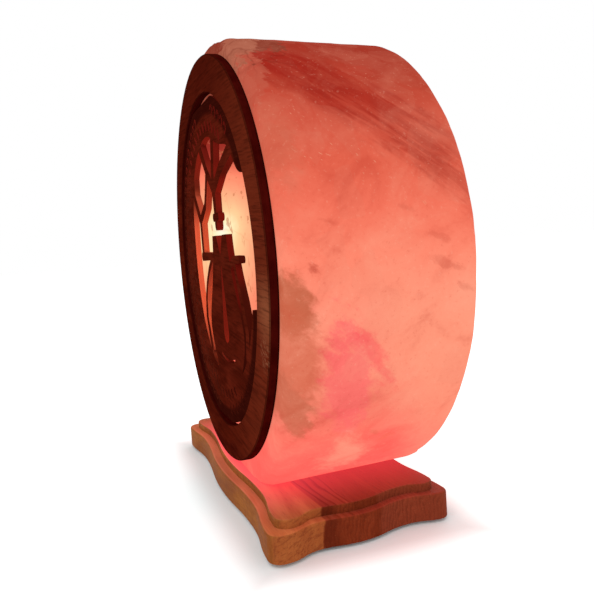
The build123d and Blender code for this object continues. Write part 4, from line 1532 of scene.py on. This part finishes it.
@dataclass
class Studio:
    """Floor, soft light, the lamp's own light and the camera. Angles are in degrees."""

    floor_half: float = 6.0
    paper: float = 0.90
    paper_glow: Span = (0.06, 0.46)
    # The floor's painted glow: its cyan tint offsets the salt's red light on the floor.
    paper_glow_colour: Colour = (0.84, 1.0, 1.0, 1.0)
    paper_glow_reach: float = 19.0 * MM
    ambient: float = 0.86
    glow_height: float = 118.0 * MM
    key: Light = Light(LightKind.AREA, "soft_key", (0.9, -1.1, 1.3), 5.0, 1.4)
    fill: Light = Light(LightKind.AREA, "soft_fill", (-1.2, 0.9, 1.1), 4.0, 1.4)
    own_watts: float = 0.06
    own_radius: float = 12.0 * MM
    own_colour: Tint = (1.0, 0.62, 0.30)
    eye: Place = (324.95 * MM, -107.69 * MM, 126.87 * MM)
    turn: float = 71.1105
    dip: float = 5.1640
    roll: float = -4.0576
    lens: float = 38.891
    sensor: float = 36.0

    def seen_directly(self, tree: bpy.types.NodeTree) -> Socket:
        """A share that is 1 for camera, glossy and transmission rays.

        Args:
            tree: The node tree to write in.

        Returns:
            The share's socket.
        """
        path = tree.nodes.new("ShaderNodeLightPath")
        total = path.outputs["Is Camera Ray"]
        for name in ("Is Glossy Ray", "Is Transmission Ray"):
            both = tree.nodes.new("ShaderNodeMath")
            both.operation = "MAXIMUM"
            tree.links.new(total, both.inputs[0])
            tree.links.new(path.outputs[name], both.inputs[1])
            total = both.outputs[0]
        return total

    def beside_base(self, sheet: NodeSheet) -> Socket:
        """The distance on the floor from the base's rectangle, negative under it.

        Args:
            sheet: The node tree to write in.

        Returns:
            The distance's socket.
        """
        x, y, _ = sheet.axes(sheet.place)
        low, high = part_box("base_board")
        beside = sheet.minus(sheet.absolute(sheet.minus(x, (low.x + high.x) / 2)), (high.x - low.x) / 2)
        ahead = sheet.minus(sheet.absolute(sheet.minus(y, (low.y + high.y) / 2)), (high.y - low.y) / 2)
        return sheet.calc("MAXIMUM", beside, ahead)

    def floor(self) -> None:
        """A plain pale floor with painted light: its own glow, seen only by the camera and in reflections,
        rises away from the base, so the floor is white past a short contact shadow.
        """
        bpy.ops.object.select_all(action="DESELECT")
        bpy.ops.mesh.primitive_plane_add(size=2 * self.floor_half, location=(0, 0, 0))
        plane = bpy.context.active_object
        plane.name = "floor"
        sheet = NodeSheet("floor_paper")
        sheet.surface(Base_Color=(self.paper, self.paper, self.paper, 1.0), Roughness=0.9,
                      Specular_IOR_Level=0.0)
        # Painted light: the floor's glow rises from the base's edge outward.
        floor_glow = sheet.fade(self.beside_base(sheet), 0.0, self.paper_glow_reach, *self.paper_glow)
        shine = sheet.add("ShaderNodeEmission", {
            "Color": self.paper_glow_colour, "Strength": sheet.times(self.seen_directly(sheet.tree), floor_glow)})
        both = sheet.add("ShaderNodeAddShader", {0: sheet.shader.outputs[0], 1: shine.outputs[0]})
        sheet.put(sheet.output.inputs["Surface"], both.outputs[0])
        plane.data.materials.append(sheet.material)
        log.info("floor: set")

    def sky(self) -> None:
        """Even ambient light under a white background."""
        world = bpy.data.worlds.new("studio")
        bpy.context.scene.world = world
        world.use_nodes = True
        tree = world.node_tree
        tree.nodes.clear()
        output = tree.nodes.new("ShaderNodeOutputWorld")
        background = tree.nodes.new("ShaderNodeBackground")
        background.inputs["Color"].default_value = (1, 1, 1, 1)
        level = tree.nodes.new("ShaderNodeMapRange")
        level.inputs["To Min"].default_value = self.ambient
        level.inputs["To Max"].default_value = 1.0
        tree.links.new(self.seen_directly(tree), level.inputs["Value"])
        tree.links.new(level.outputs[0], background.inputs["Strength"])
        tree.links.new(background.outputs[0], output.inputs["Surface"])
        log.info("sky: set")

    def lights(self) -> None:
        """Two soft lights outside, and the lamp's own light in its glass."""
        low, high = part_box("bulb_glass")
        middle = (low + high) / 2
        own = Light(LightKind.POINT, "own_light", (middle.x, middle.y, self.glow_height), self.own_watts,
                    self.own_radius, self.own_colour)
        for light in (self.key, self.fill, own):
            light.build(Vector((0, 0, self.glow_height)))

    def camera(self) -> None:
        """Stand the camera where the photograph was taken from."""
        turn, dip, roll = (math.radians(angle) for angle in (self.turn, self.dip, self.roll))
        ahead = Vector((-math.sin(turn) * math.cos(dip), math.cos(turn) * math.cos(dip), -math.sin(dip)))
        side = ahead.cross(Vector((0, 0, 1))).normalized()
        above = side.cross(ahead)
        right = math.cos(roll) * side + math.sin(roll) * above
        up = -math.sin(roll) * side + math.cos(roll) * above
        data = bpy.data.cameras.new("photo_camera")
        data.lens = self.lens
        data.sensor_width = self.sensor
        camera = bpy.data.objects.new("photo_camera", data)
        camera.matrix_world = (Matrix.Translation(Vector(self.eye))
                               @ Matrix((right, up, -ahead)).transposed().to_4x4())
        bpy.context.scene.collection.objects.link(camera)
        bpy.context.scene.camera = camera
        log.info("photo_camera: set")

    def build(self) -> None:
        """Set up everything around the lamp."""
        bpy.context.scene.view_settings.view_transform = "Standard"
        self.sky()
        self.floor()
        self.lights()
        self.camera()


def main() -> None:
    """Build every sub-assembly in order."""
    logging.basicConfig(level=logging.INFO, format="%(name)s: %(message)s")
    ring = DarkSheet(WoodPart.RING, "front_ring", "ring_adhesive")
    fretwork = DarkSheet(WoodPart.PANEL, "fretwork_panel", "panel_adhesive")
    assemblies: list[Callable[[], None]] = [
        SaltDrum().build, ring.build, fretwork.build, WoodenBase().build,
        LampHolder().build, Bulb().build, Studio().build]
    for build in assemblies:
        build()


if __name__ == "__main__":
    main()
